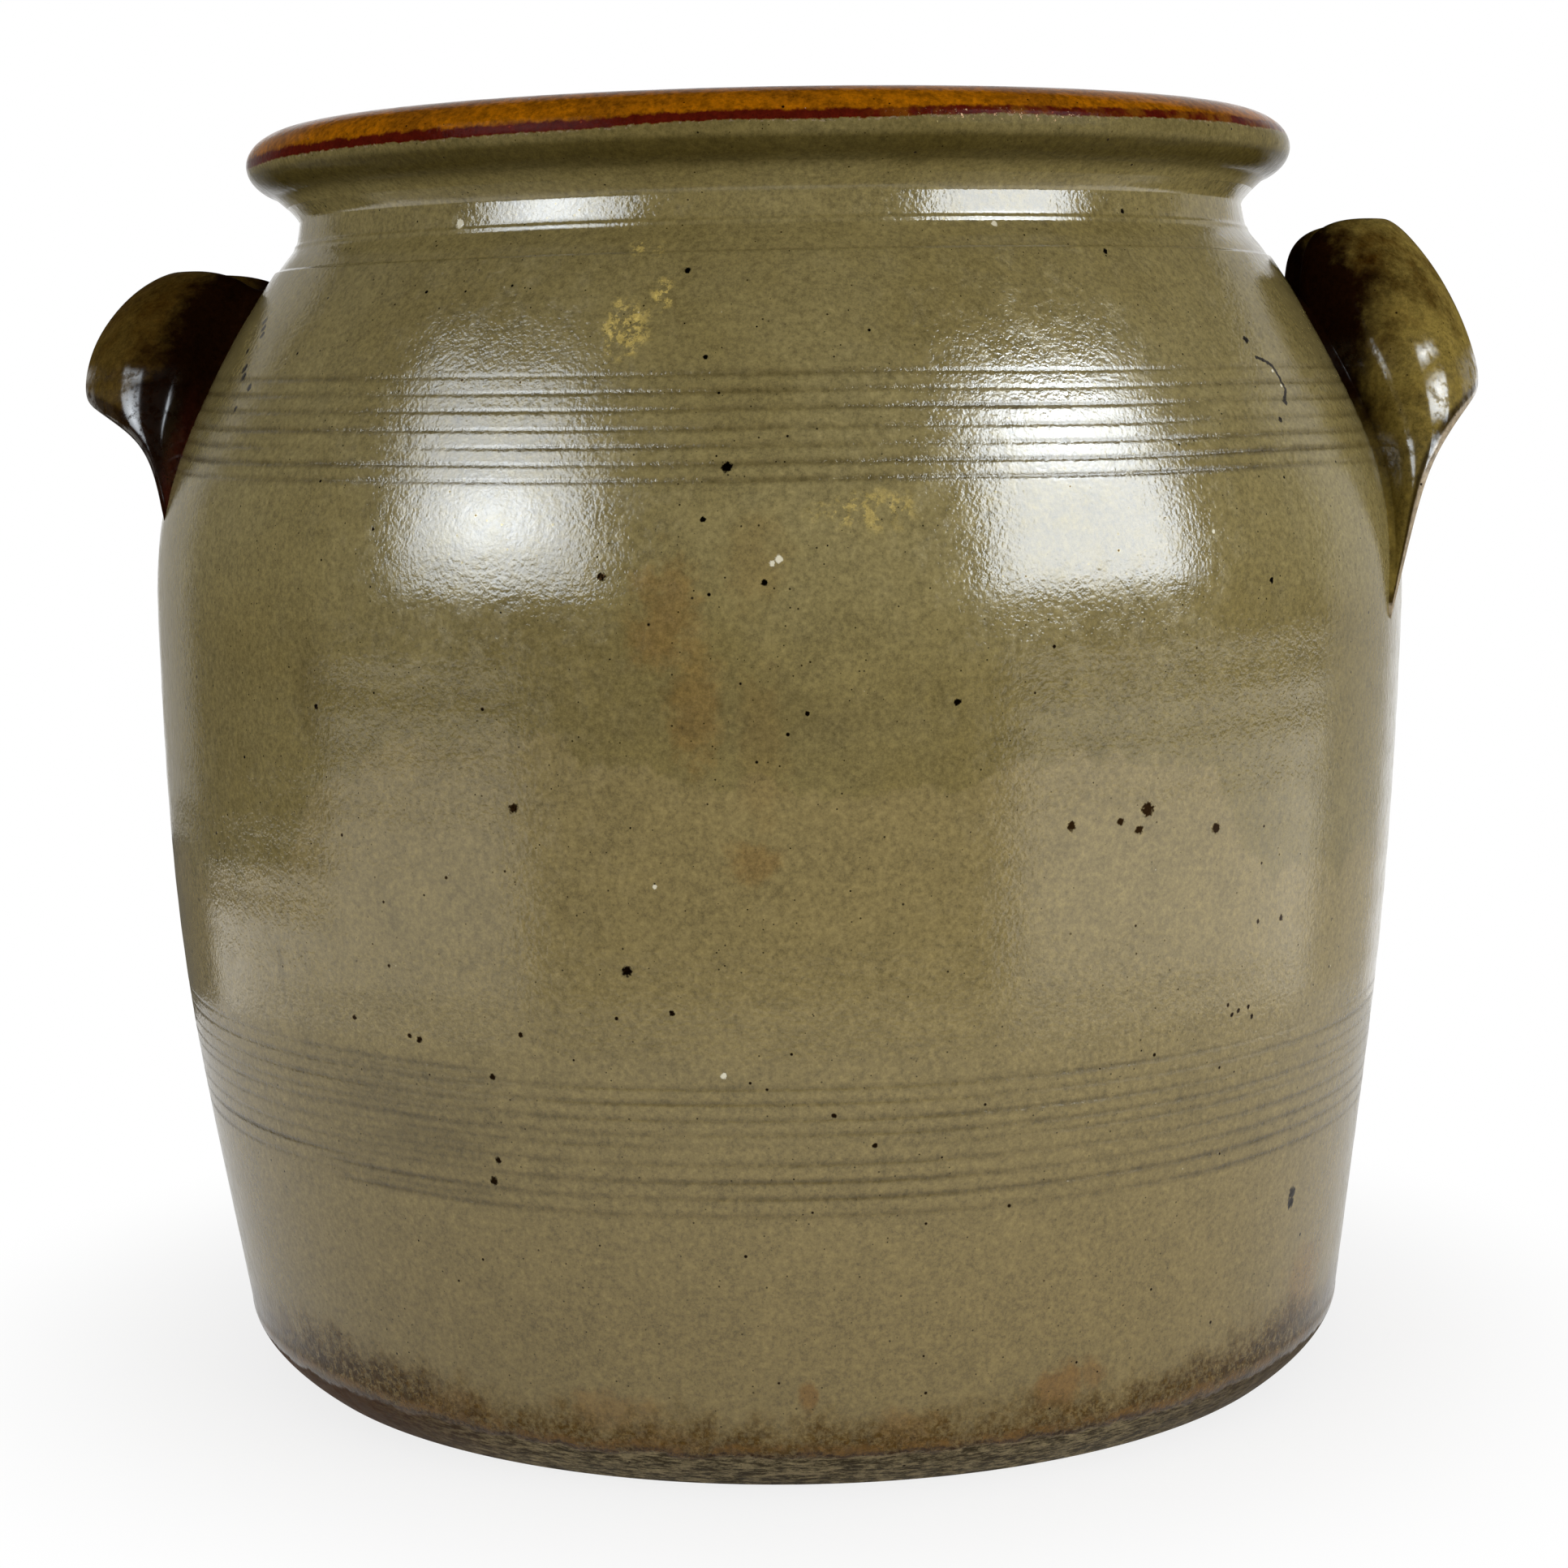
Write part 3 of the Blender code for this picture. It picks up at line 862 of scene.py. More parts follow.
# %% [markdown]
# Marks, one by one
#
# The larger marks are landmarks: anyone who has the pot in hand knows them. A spot is given by bearing in
# degrees, height and width in millimetres, and a patch also by how tall and how strong it is. Each becomes a
# distance from a point in the glaze, and a ragged edge comes from adding noise to that distance.

# %% List the spots
IRON_SPOTS = [
    (-4.7, 240.7, 1.5), (-2.6, 223.7, 1.0), (-0.6, 203.4, 2.3), (-2.4, 193.8, 1.2), (2.3, 182.1, 1.2),
    (-10.4, 183.3, 1.9), (-37.3, 156.7, 1.3), (5.5, 157.5, 1.0), (17.2, 159.0, 1.4), (-17.9, 139.1, 2.1),
    (-8.8, 108.3, 2.2), (27.0, 133.9, 2.3), (31.5, 134.0, 1.7), (33.3, 132.0, 2.1), (34.1, 135.9, 3.0),
    (41.5, 130.5, 2.4), (47.5, 178.5, 1.3), (50.7, 109.7, 1.5), (47.4, 109.9, 1.0), (57.4, 48.0, 2.8),
    (57.3, 45.9, 2.8), (-61.4, 233.0, 2.0), (-60.4, 231.4, 2.0), (-59.6, 230.0, 1.8), (-62.0, 226.5, 1.5),
    (-59.8, 222.8, 2.4), (-59.0, 221.2, 2.4), (-56.0, 218.9, 2.0), (-57.2, 214.6, 1.4), (-22.0, 64.0, 1.9),
    (-21.4, 68.4, 1.4), (-35.1, 94.4, 1.2), (-29.0, 92.2, 1.3), (-28.0, 91.7, 1.4), (-18.2, 94.6, 1.1),
    (-5.3, 100.2, 1.2), (-21.1, 85.6, 1.3), (7.5, 79.7, 1.1), (10.8, 73.4, 1.1), (44.2, 93.8, 1.0),
    (45.6, 92.1, 1.1), (46.9, 92.5, 1.0), (47.5, 90.3, 1.1), (44.8, 91.6, 1.0), (39.6, 243.8, 1.2),
    (45.5, 252.2, 1.3),
]
CRACK_PATH = [(54.8, 222.4), (56.0, 221.7), (57.0, 220.7), (57.3, 218.2), (57.3, 215.8), (56.1, 213.3)]
CRACK_WIDTH = 1.0
CRACK_STEP = 0.5
CRACK_ENDS = [(54.5, 226.0, 1.8), (56.1, 213.3, 1.6), (53.9, 209.8, 1.4)]
PALE_PIN_GLINTS = [
    (3.4, 186.4, 1.5), (2.9, 185.6, 1.1), (-1.3, 87.9, 1.2), (-6.4, 124.8, 0.9), (-32.2, 252.0, 1.9),
    (29.4, 257.4, 1.5), (27.5, 249.4, 1.4), (40.9, 188.8, 0.9), (56.6, 219.6, 0.8), (56.9, 216.6, 0.8),
]


def on_body(bearing, height):
    """The point of the body's skin at a bearing and a height in millimetres."""
    radius = float(wall_radius(height * MM)) - GLAZE_SETBACK
    if height * MM > LEDGE_HEIGHT:
        radius = float(neck_radius(height * MM))
    if height * MM > NECK_TOP:
        radius = LIP_RADIUS
    return tuple(float(side) for side in settle(np.array(around(bearing, radius, height * MM))[None])[0])


def crack_spots():
    """The crack as spots that overlap along its path."""
    spots = []
    for (bearing, height), (next_bearing, next_height) in zip(CRACK_PATH, CRACK_PATH[1:]):
        along = math.radians(next_bearing - bearing) * 1000 * float(wall_radius(height * MM))
        count = max(1, round(math.hypot(along, next_height - height) / CRACK_STEP))
        for share in np.linspace(0, 1, count, endpoint=False):
            here = bearing + (next_bearing - bearing) * share
            spots.append((here, height + (next_height - height) * share, CRACK_WIDTH))
    return spots + CRACK_ENDS


def spots_mask(tree, spots):
    """A mask that is 1 inside any of the spots."""
    ragged = ripple(tree, 0.8 * MM, 2.0, 0.6, (1, 9, 3))
    nearest = None
    for bearing, height, width in spots:
        away = vector("DISTANCE", clay_place(tree), on_body(bearing, height))
        share = calc("DIVIDE", away, width * MM / 2)
        nearest = share if nearest is None else smaller(nearest, share)
    return fade(times_plus(ragged, 1.6, nearest), 0.65, 1.15)


print(len(IRON_SPOTS), "iron spots and", len(PALE_PIN_GLINTS), "pale pins on the body")

# %% List the soft patches
RUST_BLUSHES = [
    (-5.2, 176.0, 17, 26, 0.42), (-3.0, 160.0, 13, 28, 0.36), (1.6, 186.0, 15, 20, 0.15),
    (1.2, 129.8, 11, 9, 0.40), (2.0, 150.0, 11, 40, 0.14), (4.7, 21.5, 4, 10, 0.75),
    (28.0, 19.0, 14, 14, 0.8), (31.5, 21.0, 8, 12, 0.6), (-13.0, 17.0, 24, 11, 0.45),
    (-9.0, 12.0, 22, 9, 0.4), (62.6, 24.0, 26, 22, 0.5), (13.0, 13.0, 20, 11, 0.5),
    (-30.0, 13.0, 24, 9, 0.5),
]
GOLDEN_GLINTS = [
    (-10.0, 229.0, 11, 20, 0.8), (-7.0, 236.0, 6, 14, 0.8), (-9.0, 245.6, 8, 5, 0.6),
    (10.5, 194.9, 26, 9, 0.45),
]
GREY_VEILS = [
    (-44.4, 102.0, 3.2, 16, 0.6), (-38.0, 160.0, 11, 24, 0.35), (1.5, 157.0, 60, 16, 0.28),
    (-27.5, 70.6, 34, 9, 0.35), (-34.0, 79.0, 26, 9, 0.25),
]
LIP_GLINTS = [(27.0, 269.6, 52, 3.0, 1.0)]


def patches_mask(tree, patches, raggedness, lumps):
    """A mask of soft ragged patches, each as wide, as tall and as strong as it says."""
    ragged = ripple(tree, lumps, 5.0, 0.65, (9, 2, 6))
    strongest = None
    for bearing, height, width, tall, strength in patches:
        offset = vector("SUBTRACT", clay_place(tree), on_body(bearing, height))
        squeezed = vector("MULTIPLY", offset, (2 / (width * MM), 2 / (width * MM), 2 / (tall * MM)))
        share = times_plus(ragged, raggedness, vector("LENGTH", squeezed))
        strong = times(fade(share, 0.35, 1.1), strength)
        strongest = strong if strongest is None else larger(strongest, strong)
    return strongest


print(len(RUST_BLUSHES), "rust blushes,", len(GOLDEN_GLINTS), "golden patches")

# %% [markdown]
# The body's glaze
#
# One recipe covers the whole body, because one firing did. Its layers are laid in this order: olive glaze
# with painted shade on the shoulder, a greyer bloom on the lower half that is partly a painted reflection of
# a pale table, darker glaze pooled in the grooves, painted shade under the lip, rust blushes, painted golden
# glints, the toasted halo above the bare foot with painted shade towards it, amber slip on the lip with its
# dark line and painted glints, then specks and pale pins painted as glints. Burnt iron and dry clay mirror
# nothing white, and a metallic mask with a dark colour gives just that.

# %% Lay the olive glaze
OLIVE = (0.200, 0.163, 0.068)
OLIVE_DEEP_AND_SHADE = (0.152, 0.118, 0.040)
# The grey of the bloom below is partly a painted reflection of a pale table
GREY_BLOOM_AND_TABLE_REFLECTION = (0.192, 0.148, 0.058)
POOLED = (0.072, 0.053, 0.016)
SHADED = (0.040, 0.028, 0.004)
VEIL = (0.095, 0.072, 0.026)
RUST = (0.168, 0.085, 0.015)
GOLD = (0.600, 0.450, 0.120)
DEEP_ENDS = (158 * MM, 190 * MM)
SHOULDER_SHADE = (214 * MM, 232 * MM)
HOLLOW_STARTS = (259 * MM, 263.5 * MM)
HOLLOW_ENDS = (-3.0 * MM, -1.0 * MM)
BLOOM_AND_REFLECTION_STRENGTH = 0.95
BLOOM_AND_REFLECTION_ENDS = (-1 * MM, 2 * MM)

# A wander is size, reach, offset and detail. A mottle is size, detail, roughness, offset, step and values.
BLOOM_AND_REFLECTION_WANDER = (15 * MM, 15 * MM, (4, 4, 4), 6.0)
POOL_MOTTLE = (5 * MM, 5.0, 0.7, (6, 2, 2), 0.36, 0.66, 0.60, 1.0)
GOLD_STREAKS = (2.6 * MM, 4.0, 0.75, (3, 8, 5), 0.48, 0.58)

# How ragged the edges of soft patches are, and how large their lumps
VEIL_EDGE = (1.6, 7 * MM)
BLUSH_EDGE = (2.2, 6 * MM)
GOLD_EDGE = (1.8, 5 * MM)


def glaze_material(name):
    """A new material: its tree and its shader."""
    material = bpy.data.materials.new(name)
    material.use_nodes = True
    return material, material.node_tree, material.node_tree.nodes["Principled BSDF"]


# Where the bloom and its painted table reflection end, as (bearing in degrees, height in millimetres) all
# the way round
BLOOM_AND_REFLECTION_BORDER = [
    (-180, 126), (-120, 132), (-75, 122), (-54, 118), (-45, 122), (-35, 146), (-26, 153), (-13, 151),
    (-5, 145), (7, 144), (17, 143.5), (24, 147), (33, 150), (40, 142), (48, 119), (60, 118), (80, 124),
    (130, 130), (180, 126),
]


def bloom_and_reflection_border(bearings):
    """Height of the upper border of the bloom and its painted table reflection, in metres, as it waves round
    the pot.
    """
    angle = np.degrees(np.arctan2(np.sin(bearings), np.cos(bearings)))
    return np.interp(angle, *zip(*BLOOM_AND_REFLECTION_BORDER)) * MM


bloom_and_reflection_way = bloom_and_reflection_border(bearings) - heights
bloom_and_reflection_way[inside_start:] = -POT_HEIGHT
set_mark(pot.data, "bloom_and_reflection_way", bloom_and_reflection_way)


def lay_olive(tree, grain):
    """Olive glaze with painted shade on the shoulder, the greyer bloom below that is partly a painted table
    reflection, darker where it pooled, painted shade under the lip, and the soft patches with painted golden
    glints.
    """
    rise = mark_on(tree, "rise")
    deep = spread(rise, *DEEP_ENDS, 0.75, 0.0)
    # Painted shade: the shoulder is darkened towards the neck with the deep olive
    deep = plus(deep, spread(rise, *SHOULDER_SHADE, 0.0, 0.3))
    deep = times_plus(grain.outputs["Clouds"], 0.5, deep)
    colour = lay(deep, OLIVE, OLIVE_DEEP_AND_SHADE)
    # Painted reflection: the greyer bloom on the lower half stands partly for a pale table mirrored in the
    # glaze
    border = plus(mark_on(tree, "bloom_and_reflection_way"), wander(tree, *BLOOM_AND_REFLECTION_WANDER))
    colour = lay(times(spread(border, *BLOOM_AND_REFLECTION_ENDS), BLOOM_AND_REFLECTION_STRENGTH), colour, GREY_BLOOM_AND_TABLE_REFLECTION)
    colour = lay(patches_mask(tree, GREY_VEILS, *VEIL_EDGE), colour, VEIL)
    uneven = mottled(tree, *POOL_MOTTLE)
    pooling = times(mark_on(tree, "comb"), uneven, clamp=True)
    colour = lay(pooling, colour, POOLED)
    # Painted shade under the rolled lip, lighter near the lip's edge
    hollow = times(spread(rise, *HOLLOW_STARTS), 0.85)
    edge = spread(mark_on(tree, "lip_way"), *HOLLOW_ENDS, 1.0, 0.40)
    colour = lay(times(hollow, edge), colour, SHADED)
    colour = lay(patches_mask(tree, RUST_BLUSHES, *BLUSH_EDGE), colour, RUST)
    # Painted highlight: golden glints laid in as streaked colour
    streaks = mottled(tree, *GOLD_STREAKS)
    gold = times(patches_mask(tree, GOLDEN_GLINTS, *GOLD_EDGE), streaks)
    return lay(times(gold, 0.8), colour, GOLD)


print(f"the bloom ends {1000 * bloom_and_reflection_border(0.0):.0f} mm up at the front")

# %% [markdown]
# The foot
#
# Near its foot the pot is toasted, and the wall is darkened towards the foot as painted shade. The glaze
# ends in a honey line and a dark seam, and below them the clay is bare and wiped. Each border lies at a
# height of the clay, and noise that is added to the height lets it wander, as the real ones do.

# %% Lay the toasted foot
TOAST_AND_SHADE = (0.086, 0.045, 0.005)
HONEY = (0.112, 0.054, 0.004)
SCORCH = (0.030, 0.014, 0.003)
BARE_CLAY = (0.235, 0.185, 0.100)
FOOT_DARK = (0.042, 0.030, 0.014)
FOOT_BROWN = (0.046, 0.017, 0.004)
FOOT_SHADE_ENDS = (20 * MM, 110 * MM)
HALO_ENDS = (10 * MM, 21 * MM)
BURNT_ENDS = (11 * MM, 17 * MM)
HONEY_ENDS = (10.2 * MM, 12.0 * MM)
SEAM_ENDS = (8.8 * MM, 9.8 * MM)
BARE_ENDS = (7.6 * MM, 8.8 * MM)
WIPE_SIZE = 4 * MM
WIPE_STRETCH = 5
WIPE_ENDS = (0.42, 0.60)
TOAST_WANDER = (7 * MM, 10 * MM, (5, 1, 7))
LINE_WANDER = (9 * MM, 2.6 * MM, (7, 7, 1))
TOAST_MOTTLE = (1.2 * MM, 3.0, 0.8, (2, 3, 9), 0.36, 0.64, 0.35, 1.0)
BURNT_BLOTS = (2.0 * MM, 5.0, 0.8, (4, 9, 2), 0.45, 0.56)
HONEY_RUNS = (6 * MM, 4.0, 0.75, (3, 5, 5), 0.42, 0.56, 0.15, 1.0)

# The left and right side, as the sine of the bearing, and how much higher the borders lie there
LEFT_SIDE = (-0.72, -0.30)
RIGHT_SIDE = (0.50, 0.90)
TOAST_CLIMBS = 5 * MM
LINE_CLIMBS = 1.4 * MM


def lay_foot(tree, colour):
    """Painted shade towards the foot, toasted halo, honey line and bare foot. Also hands out where clay is
    bare and where it is matt.
    """
    rise = mark_on(tree, "rise")
    side = mark_on(tree, "bearing_x")
    left = fade(side, *LEFT_SIDE)
    aside = larger(left, spread(side, *RIGHT_SIDE))
    toast_way = plus(rise, wander(tree, *TOAST_WANDER))
    toast_way = times_plus(aside, -TOAST_CLIMBS, toast_way)
    mottle = mottled(tree, *TOAST_MOTTLE)
    # Painted shade: the wall darkens towards the foot, laid in the toast colour
    colour = lay(spread(rise, *FOOT_SHADE_ENDS, 0.22, 0.0), colour, TOAST_AND_SHADE)
    halo = times(fade(toast_way, *HALO_ENDS), mottle)
    colour = lay(halo, colour, TOAST_AND_SHADE)
    burnt = spread(toast_way, *BURNT_ENDS, 0.9, 0.0)
    charred = times(times(burnt, mottled(tree, *BURNT_BLOTS)), times_plus(aside, 0.6, 0.3))
    colour = lay(charred, colour, SCORCH)
    line_way = plus(rise, wander(tree, *LINE_WANDER))
    line_way = times_plus(aside, -LINE_CLIMBS, line_way)
    runs = mottled(tree, *HONEY_RUNS)
    honey = times(fade(line_way, *HONEY_ENDS), runs)
    colour = lay(honey, colour, HONEY)
    seam = times(fade(line_way, *SEAM_ENDS), mottle)
    colour = lay(seam, colour, SCORCH)
    bare = fade(line_way, *BARE_ENDS)
    stretched = vector("MULTIPLY", clay_place(tree), (1, 1, WIPE_STRETCH))
    wiped = add(tree, "ShaderNodeTexNoise", Vector=stretched, Scale=1 / WIPE_SIZE, Detail=6.0, Roughness=0.8)
    clay = lay(spread(wiped.outputs["Fac"], *WIPE_ENDS), FOOT_DARK, BARE_CLAY)
    clay = lay(times(left, 0.9), clay, FOOT_BROWN)
    clay = lay(times(minus(aside, left), 0.75), clay, SCORCH)
    matt = larger(larger(charred, seam), times(halo, 0.8))
    matt = larger(times(matt, times_plus(honey, -0.4, 1.0)), times(bare, 0.95))
    return lay(bare, colour, clay), bare, matt


print(f"clay is bare up to {1000 * BARE_ENDS[0]:.1f} mm")

# %% [markdown]
# The lip
#
# The amber slip ends in a dark oxblood line, with a few pale crumbs of glaze that crawled away from it. Its
# border follows how far up the lip a point is, and it climbs a little from left to right. A few glints on
# the right of the lip are painted highlights.

# %% Lay the slip on the lip
AMBER = (0.262, 0.086, 0.001)
AMBER_BROWN = (0.135, 0.045, 0.003)
OXBLOOD = (0.058, 0.005, 0.002)
CRAWL = (0.210, 0.160, 0.100)
GLINT = (0.58, 0.38, 0.22)
SLIP_SLANT = 1.5 * MM
SLIP_OFFSET = 0.55 * MM
CRAWL_STARTS = (0.6 * MM, 0.9 * MM)
OXBLOOD_STARTS = (1.0 * MM, 1.4 * MM)
AMBER_STARTS = (2.7 * MM, 3.6 * MM)
LAND_STARTS = (10 * MM, 16 * MM)
UNBROKEN_SIDE = (0.20, 0.34)
GLINT_EDGE = (0.6, 2 * MM)
SLIP_RAGGED = (1.5 * MM, 0.6 * MM, (8, 8, 1), 3.0)
SLIP_DRIFT = (30 * MM, 0.7 * MM, (2, 7, 1), 1.0)
AMBER_WANDER = (3 * MM, 1.0 * MM, (1, 3, 3), 4.0)
CRAWL_CRUMBS = (0.9 * MM, 2.0, 0.6, (4, 1, 1), 0.54, 0.62, 0.0, 0.8)
OXBLOOD_BLOTCHES = (7 * MM, 4.0, 0.6, (7, 3, 4), 0.36, 0.58, 0.1, 1.0)
AMBER_TONE = (2.2 * MM, 4.0, 0.7, (6, 6, 3), 0.35, 0.65, 0.66, 1.2)
AMBER_BROWNING = (20 * MM, 3.0, 0.6, (4, 2, 3), 0.42, 0.62, 0.0, 0.45)
SPARKLES = (1.1 * MM, 3.0, 0.75, (5, 5, 9), 0.62, 0.66)


def lay_slip(tree, colour):
    """The lip's amber slip, with the oxblood line, the pale crawl and painted glints."""
    side = mark_on(tree, "bearing_x")
    way = plus(mark_on(tree, "lip_way"), times_plus(side, -SLIP_SLANT, SLIP_OFFSET))
    way = plus(way, wander(tree, *SLIP_RAGGED))
    way = plus(way, wander(tree, *SLIP_DRIFT))
    broken = mottled(tree, *CRAWL_CRUMBS)
    colour = lay(times(spread(way, *CRAWL_STARTS), broken), colour, CRAWL)
    slipped = spread(way, *OXBLOOD_STARTS)
    colour = lay(slipped, colour, AMBER_BROWN)
    blotched = mottled(tree, *OXBLOOD_BLOTCHES)
    whole = larger(blotched, fade(side, *UNBROKEN_SIDE))
    colour = lay(times(slipped, whole), colour, OXBLOOD)
    tone = mottled(tree, *AMBER_TONE)
    amber_way = plus(way, wander(tree, *AMBER_WANDER))
    browner = mottled(tree, *AMBER_BROWNING)
    browner = plus(browner, spread(way, *LAND_STARTS, 0.0, 0.5))
    amber = lay(browner, AMBER, AMBER_BROWN)
    colour = lay(spread(amber_way, *AMBER_STARTS), colour, shade(amber, tone))
    # Painted highlight: glints on the right of the lip, laid as colour
    sparkle = times(mottled(tree, *SPARKLES), patches_mask(tree, LIP_GLINTS, *GLINT_EDGE))
    return lay(sparkle, colour, GLINT)


print(f"amber starts {1000 * (AMBER_STARTS[0] - OXBLOOD_STARTS[0]):.1f} mm above the oxblood's lower edge")

# %% [markdown]
# Two finishes from one recipe
#
# The slip fired duller than the salt glaze. How much a finish mirrors is one plain value on its shader,
# which survives an export, so the recipe is used twice and the faces say which finish they take.

# %% Make the two finishes of the body
IRON = (0.012, 0.006, 0.002)
PIN_GLINT = (0.62, 0.58, 0.44)
INSIDE = (0.120, 0.075, 0.022)
GLAZE_SHINE = 0.5
SLIP_SHINE = 0.01
GLAZE_ROUGHNESS = 0.08
SALT_DULLS = (4.5 * MM, 5.0, 0.7, (5, 3, 8), 0.42, 0.66, 0.0, 0.11)
GLAZE_RELIEF = 0.11 * MM
SLIP_FROM_ROW = lip_start + 8
SLIP_TO_ROW = inside_start + 12


def make_body_glaze(name, shine):
    """The whole recipe, for a part of the body that is as shiny as this."""
    material, tree, shader = glaze_material(name)
    grain = use(tree, "grain", Fine=0.43, Cloudy=0.25)
    specks = use(tree, "specks", Amount=1.0)
    colour, bare, matt = lay_foot(tree, lay_olive(tree, grain))
    colour = lay_slip(tree, colour)
    colour = lay(mark_on(tree, "inside"), colour, INSIDE)
    colour = shade(colour, grain.outputs["Tone"])
    iron = times(specks.outputs["Specks"], 0.65)
    iron = larger(iron, specks.outputs["Freckles"])
    iron = larger(iron, spots_mask(tree, IRON_SPOTS + crack_spots()))
    colour = lay(iron, colour, IRON)
    # Painted highlight: pale pins that stand for glints on pits and beside the crack
    pins = larger(times(specks.outputs["Glint_pins"], 0.4), spots_mask(tree, PALE_PIN_GLINTS))
    colour = lay(pins, colour, PIN_GLINT)
    join(colour, shader.inputs["Base Color"])
    dulled = plus(mottled(tree, *SALT_DULLS), GLAZE_ROUGHNESS)
    wet = times_plus(grain.outputs["Relief"], 0.15, dulled)
    join(times_plus(bare, 0.6, wet), shader.inputs["Roughness"])
    join(shine, shader.inputs["Specular IOR Level"])
    join(larger(iron, matt), shader.inputs["Metallic"])
    peel = use(tree, "peel", Coarse=0.55)
    drag = times_plus(mark_on(tree, "comb"), 2.0, 0.35)
    grit = times_plus(grain.outputs["Relief"], drag, peel.outputs["Height"])
    bump = add(tree, "ShaderNodeBump", Height=grit, Strength=1.0, Distance=GLAZE_RELIEF)
    join(bump.outputs["Normal"], shader.inputs["Normal"])
    return material


body_glaze = make_body_glaze("olive_salt_glaze", GLAZE_SHINE)
lip_slip = make_body_glaze("amber_lip_slip", SLIP_SHINE)
pot.data.materials.append(body_glaze)
pot.data.materials.append(lip_slip)

# The slip fired duller than the salt glaze, from its ragged lower edge over the lip and into the bore
slip_way = (ways - ways[lip_outermost])[:-1, None] - SLIP_SLANT * np.sin(bearings) + SLIP_OFFSET
row = np.arange(len(outline) - 1)[:, None]
is_slip = ((slip_way > 0) | (row >= SLIP_FROM_ROW)) & (row < SLIP_TO_ROW)
finish = np.concatenate([is_slip.ravel(), [False, False]]).astype(np.int32)
pot.data.polygons.foreach_set("material_index", finish)
print("body glaze has", len(body_glaze.node_tree.nodes), "nodes, and", int(finish.sum()), "faces are slip")

# %% [markdown]
# The iron wash on the straps
#
# The straps were brushed with iron before the salt went in. Where the wash is thick it fires nearly black,
# and it thins to olive on the crown and on the lower face, where the olive is also a painted reflection of a
# pale table. Near the pot the dark is partly painted shade, and the pale rim along the right strap's lower
# edge is a painted reflection.

# %% Mix the iron glaze
WASH_DARK_AND_SHADE = (0.009, 0.003, 0.0006)
WASH_BROWN = (0.031, 0.013, 0.001)
WASH_OLIVE_AND_REFLECTION = (0.158, 0.114, 0.026)
WASH_RED = (0.040, 0.008, 0.004)
RIM_REFLECTION_PALE = (0.340, 0.275, 0.190)
EDGE_STARTS = (0.84, 0.90)
RIM_REFLECTION_STARTS = (0.92, 0.95)
NEAR_POT_SHADE = (0.30, 0.60)
UPPER_ENDS = (-0.35, 0.15)
LOWER_FACE_REFLECTION_STARTS = (-0.1, 0.6)
RED_FOOT = (0.80, 0.95)
RED_EDGE = (-0.2, 0.5)
WASH_WANDER = (9 * MM, 5.0, 0.65)
WASH_STRAYS = 0.9
THIN_WASH = (12 * MM, 5.0, 0.68, (2, 2, 6), 0.22, 0.66)
COAT_PATCHES = (3 * MM, 4.0, 0.7, (3, 3, 1), 0.38, 0.56, 0.15, 1.0)
WASH_ROUGHNESS = 0.13
WASH_RELIEF = 0.14 * MM


def make_iron_glaze():
    """A dark, dry wash under a thin coat, which is wet only where the mesh is marked as glossy."""
    material, tree, shader = glaze_material("iron_brown_glaze")
    grain = use(tree, "grain", Fine=0.5, Cloudy=0.6)
    specks = use(tree, "specks", Amount=1.0)
    foot = mark_on(tree, "foot")
    across = mark_on(tree, "across")
    wash = mark_on(tree, "wash")
    straying = times(ripple(tree, *WASH_WANDER), WASH_STRAYS)
    near_pot = plus(foot, straying)
    thin = mottled(tree, *THIN_WASH)
    # The lower face is lightened to olive, partly thin wash and partly a painted reflection of the pale
    # table
    thin = times_plus(spread(across, *LOWER_FACE_REFLECTION_STARTS), 0.35, thin, clamp=True)
    thin = times(thin, minus(1.0, wash))
    colour = lay(thin, WASH_BROWN, WASH_OLIVE_AND_REFLECTION)
    # Painted shade: near the pot the wash is darkened, partly dark wash and partly shade
    upper = fade(plus(across, straying), *UPPER_ENDS)
    thick = times(wash, 1.35)
    upper = larger(upper, thick)
    dark = times(spread(near_pot, *NEAR_POT_SHADE), upper, clamp=True)
    colour = lay(dark, colour, WASH_DARK_AND_SHADE)
    low = times(spread(foot, *RED_FOOT), spread(across, *RED_EDGE))
    colour = lay(times(low, thick, clamp=True), colour, WASH_RED)
    edge = times_plus(straying, 0.05, across)
    colour = lay(spread(edge, *EDGE_STARTS, 0.0, 0.8), colour, WASH_DARK_AND_SHADE)
    # Painted reflection: a pale rim along the strap's lower edge, on the right strap only
    rim_reflection = times(spread(edge, *RIM_REFLECTION_STARTS), mark_on(tree, "rim_reflection"))
    colour = lay(times(rim_reflection, 0.85), colour, RIM_REFLECTION_PALE)
    colour = shade(colour, grain.outputs["Tone"])
    colour = lay(times(specks.outputs["Specks"], 0.8), colour, IRON)
    colour = lay(specks.outputs["Freckles"], colour, IRON)
    join(colour, shader.inputs["Base Color"])
    join(0.5, shader.inputs["Roughness"])
    join(0.0, shader.inputs["Specular IOR Level"])
    patchy = mottled(tree, *COAT_PATCHES)
    join(times(mark_on(tree, "gloss"), patchy), shader.inputs["Coat Weight"])
    join(WASH_ROUGHNESS, shader.inputs["Coat Roughness"])
    peel = use(tree, "peel", Coarse=0.7)
    bump = add(tree, "ShaderNodeBump", Height=peel.outputs["Height"], Strength=1.0, Distance=WASH_RELIEF)
    join(bump.outputs["Normal"], shader.inputs["Normal"])
    return material


iron_glaze = make_iron_glaze()
for piece in straps.values():
    piece.data.materials.append(iron_glaze)
print("iron glaze has", len(iron_glaze.node_tree.nodes), "nodes")

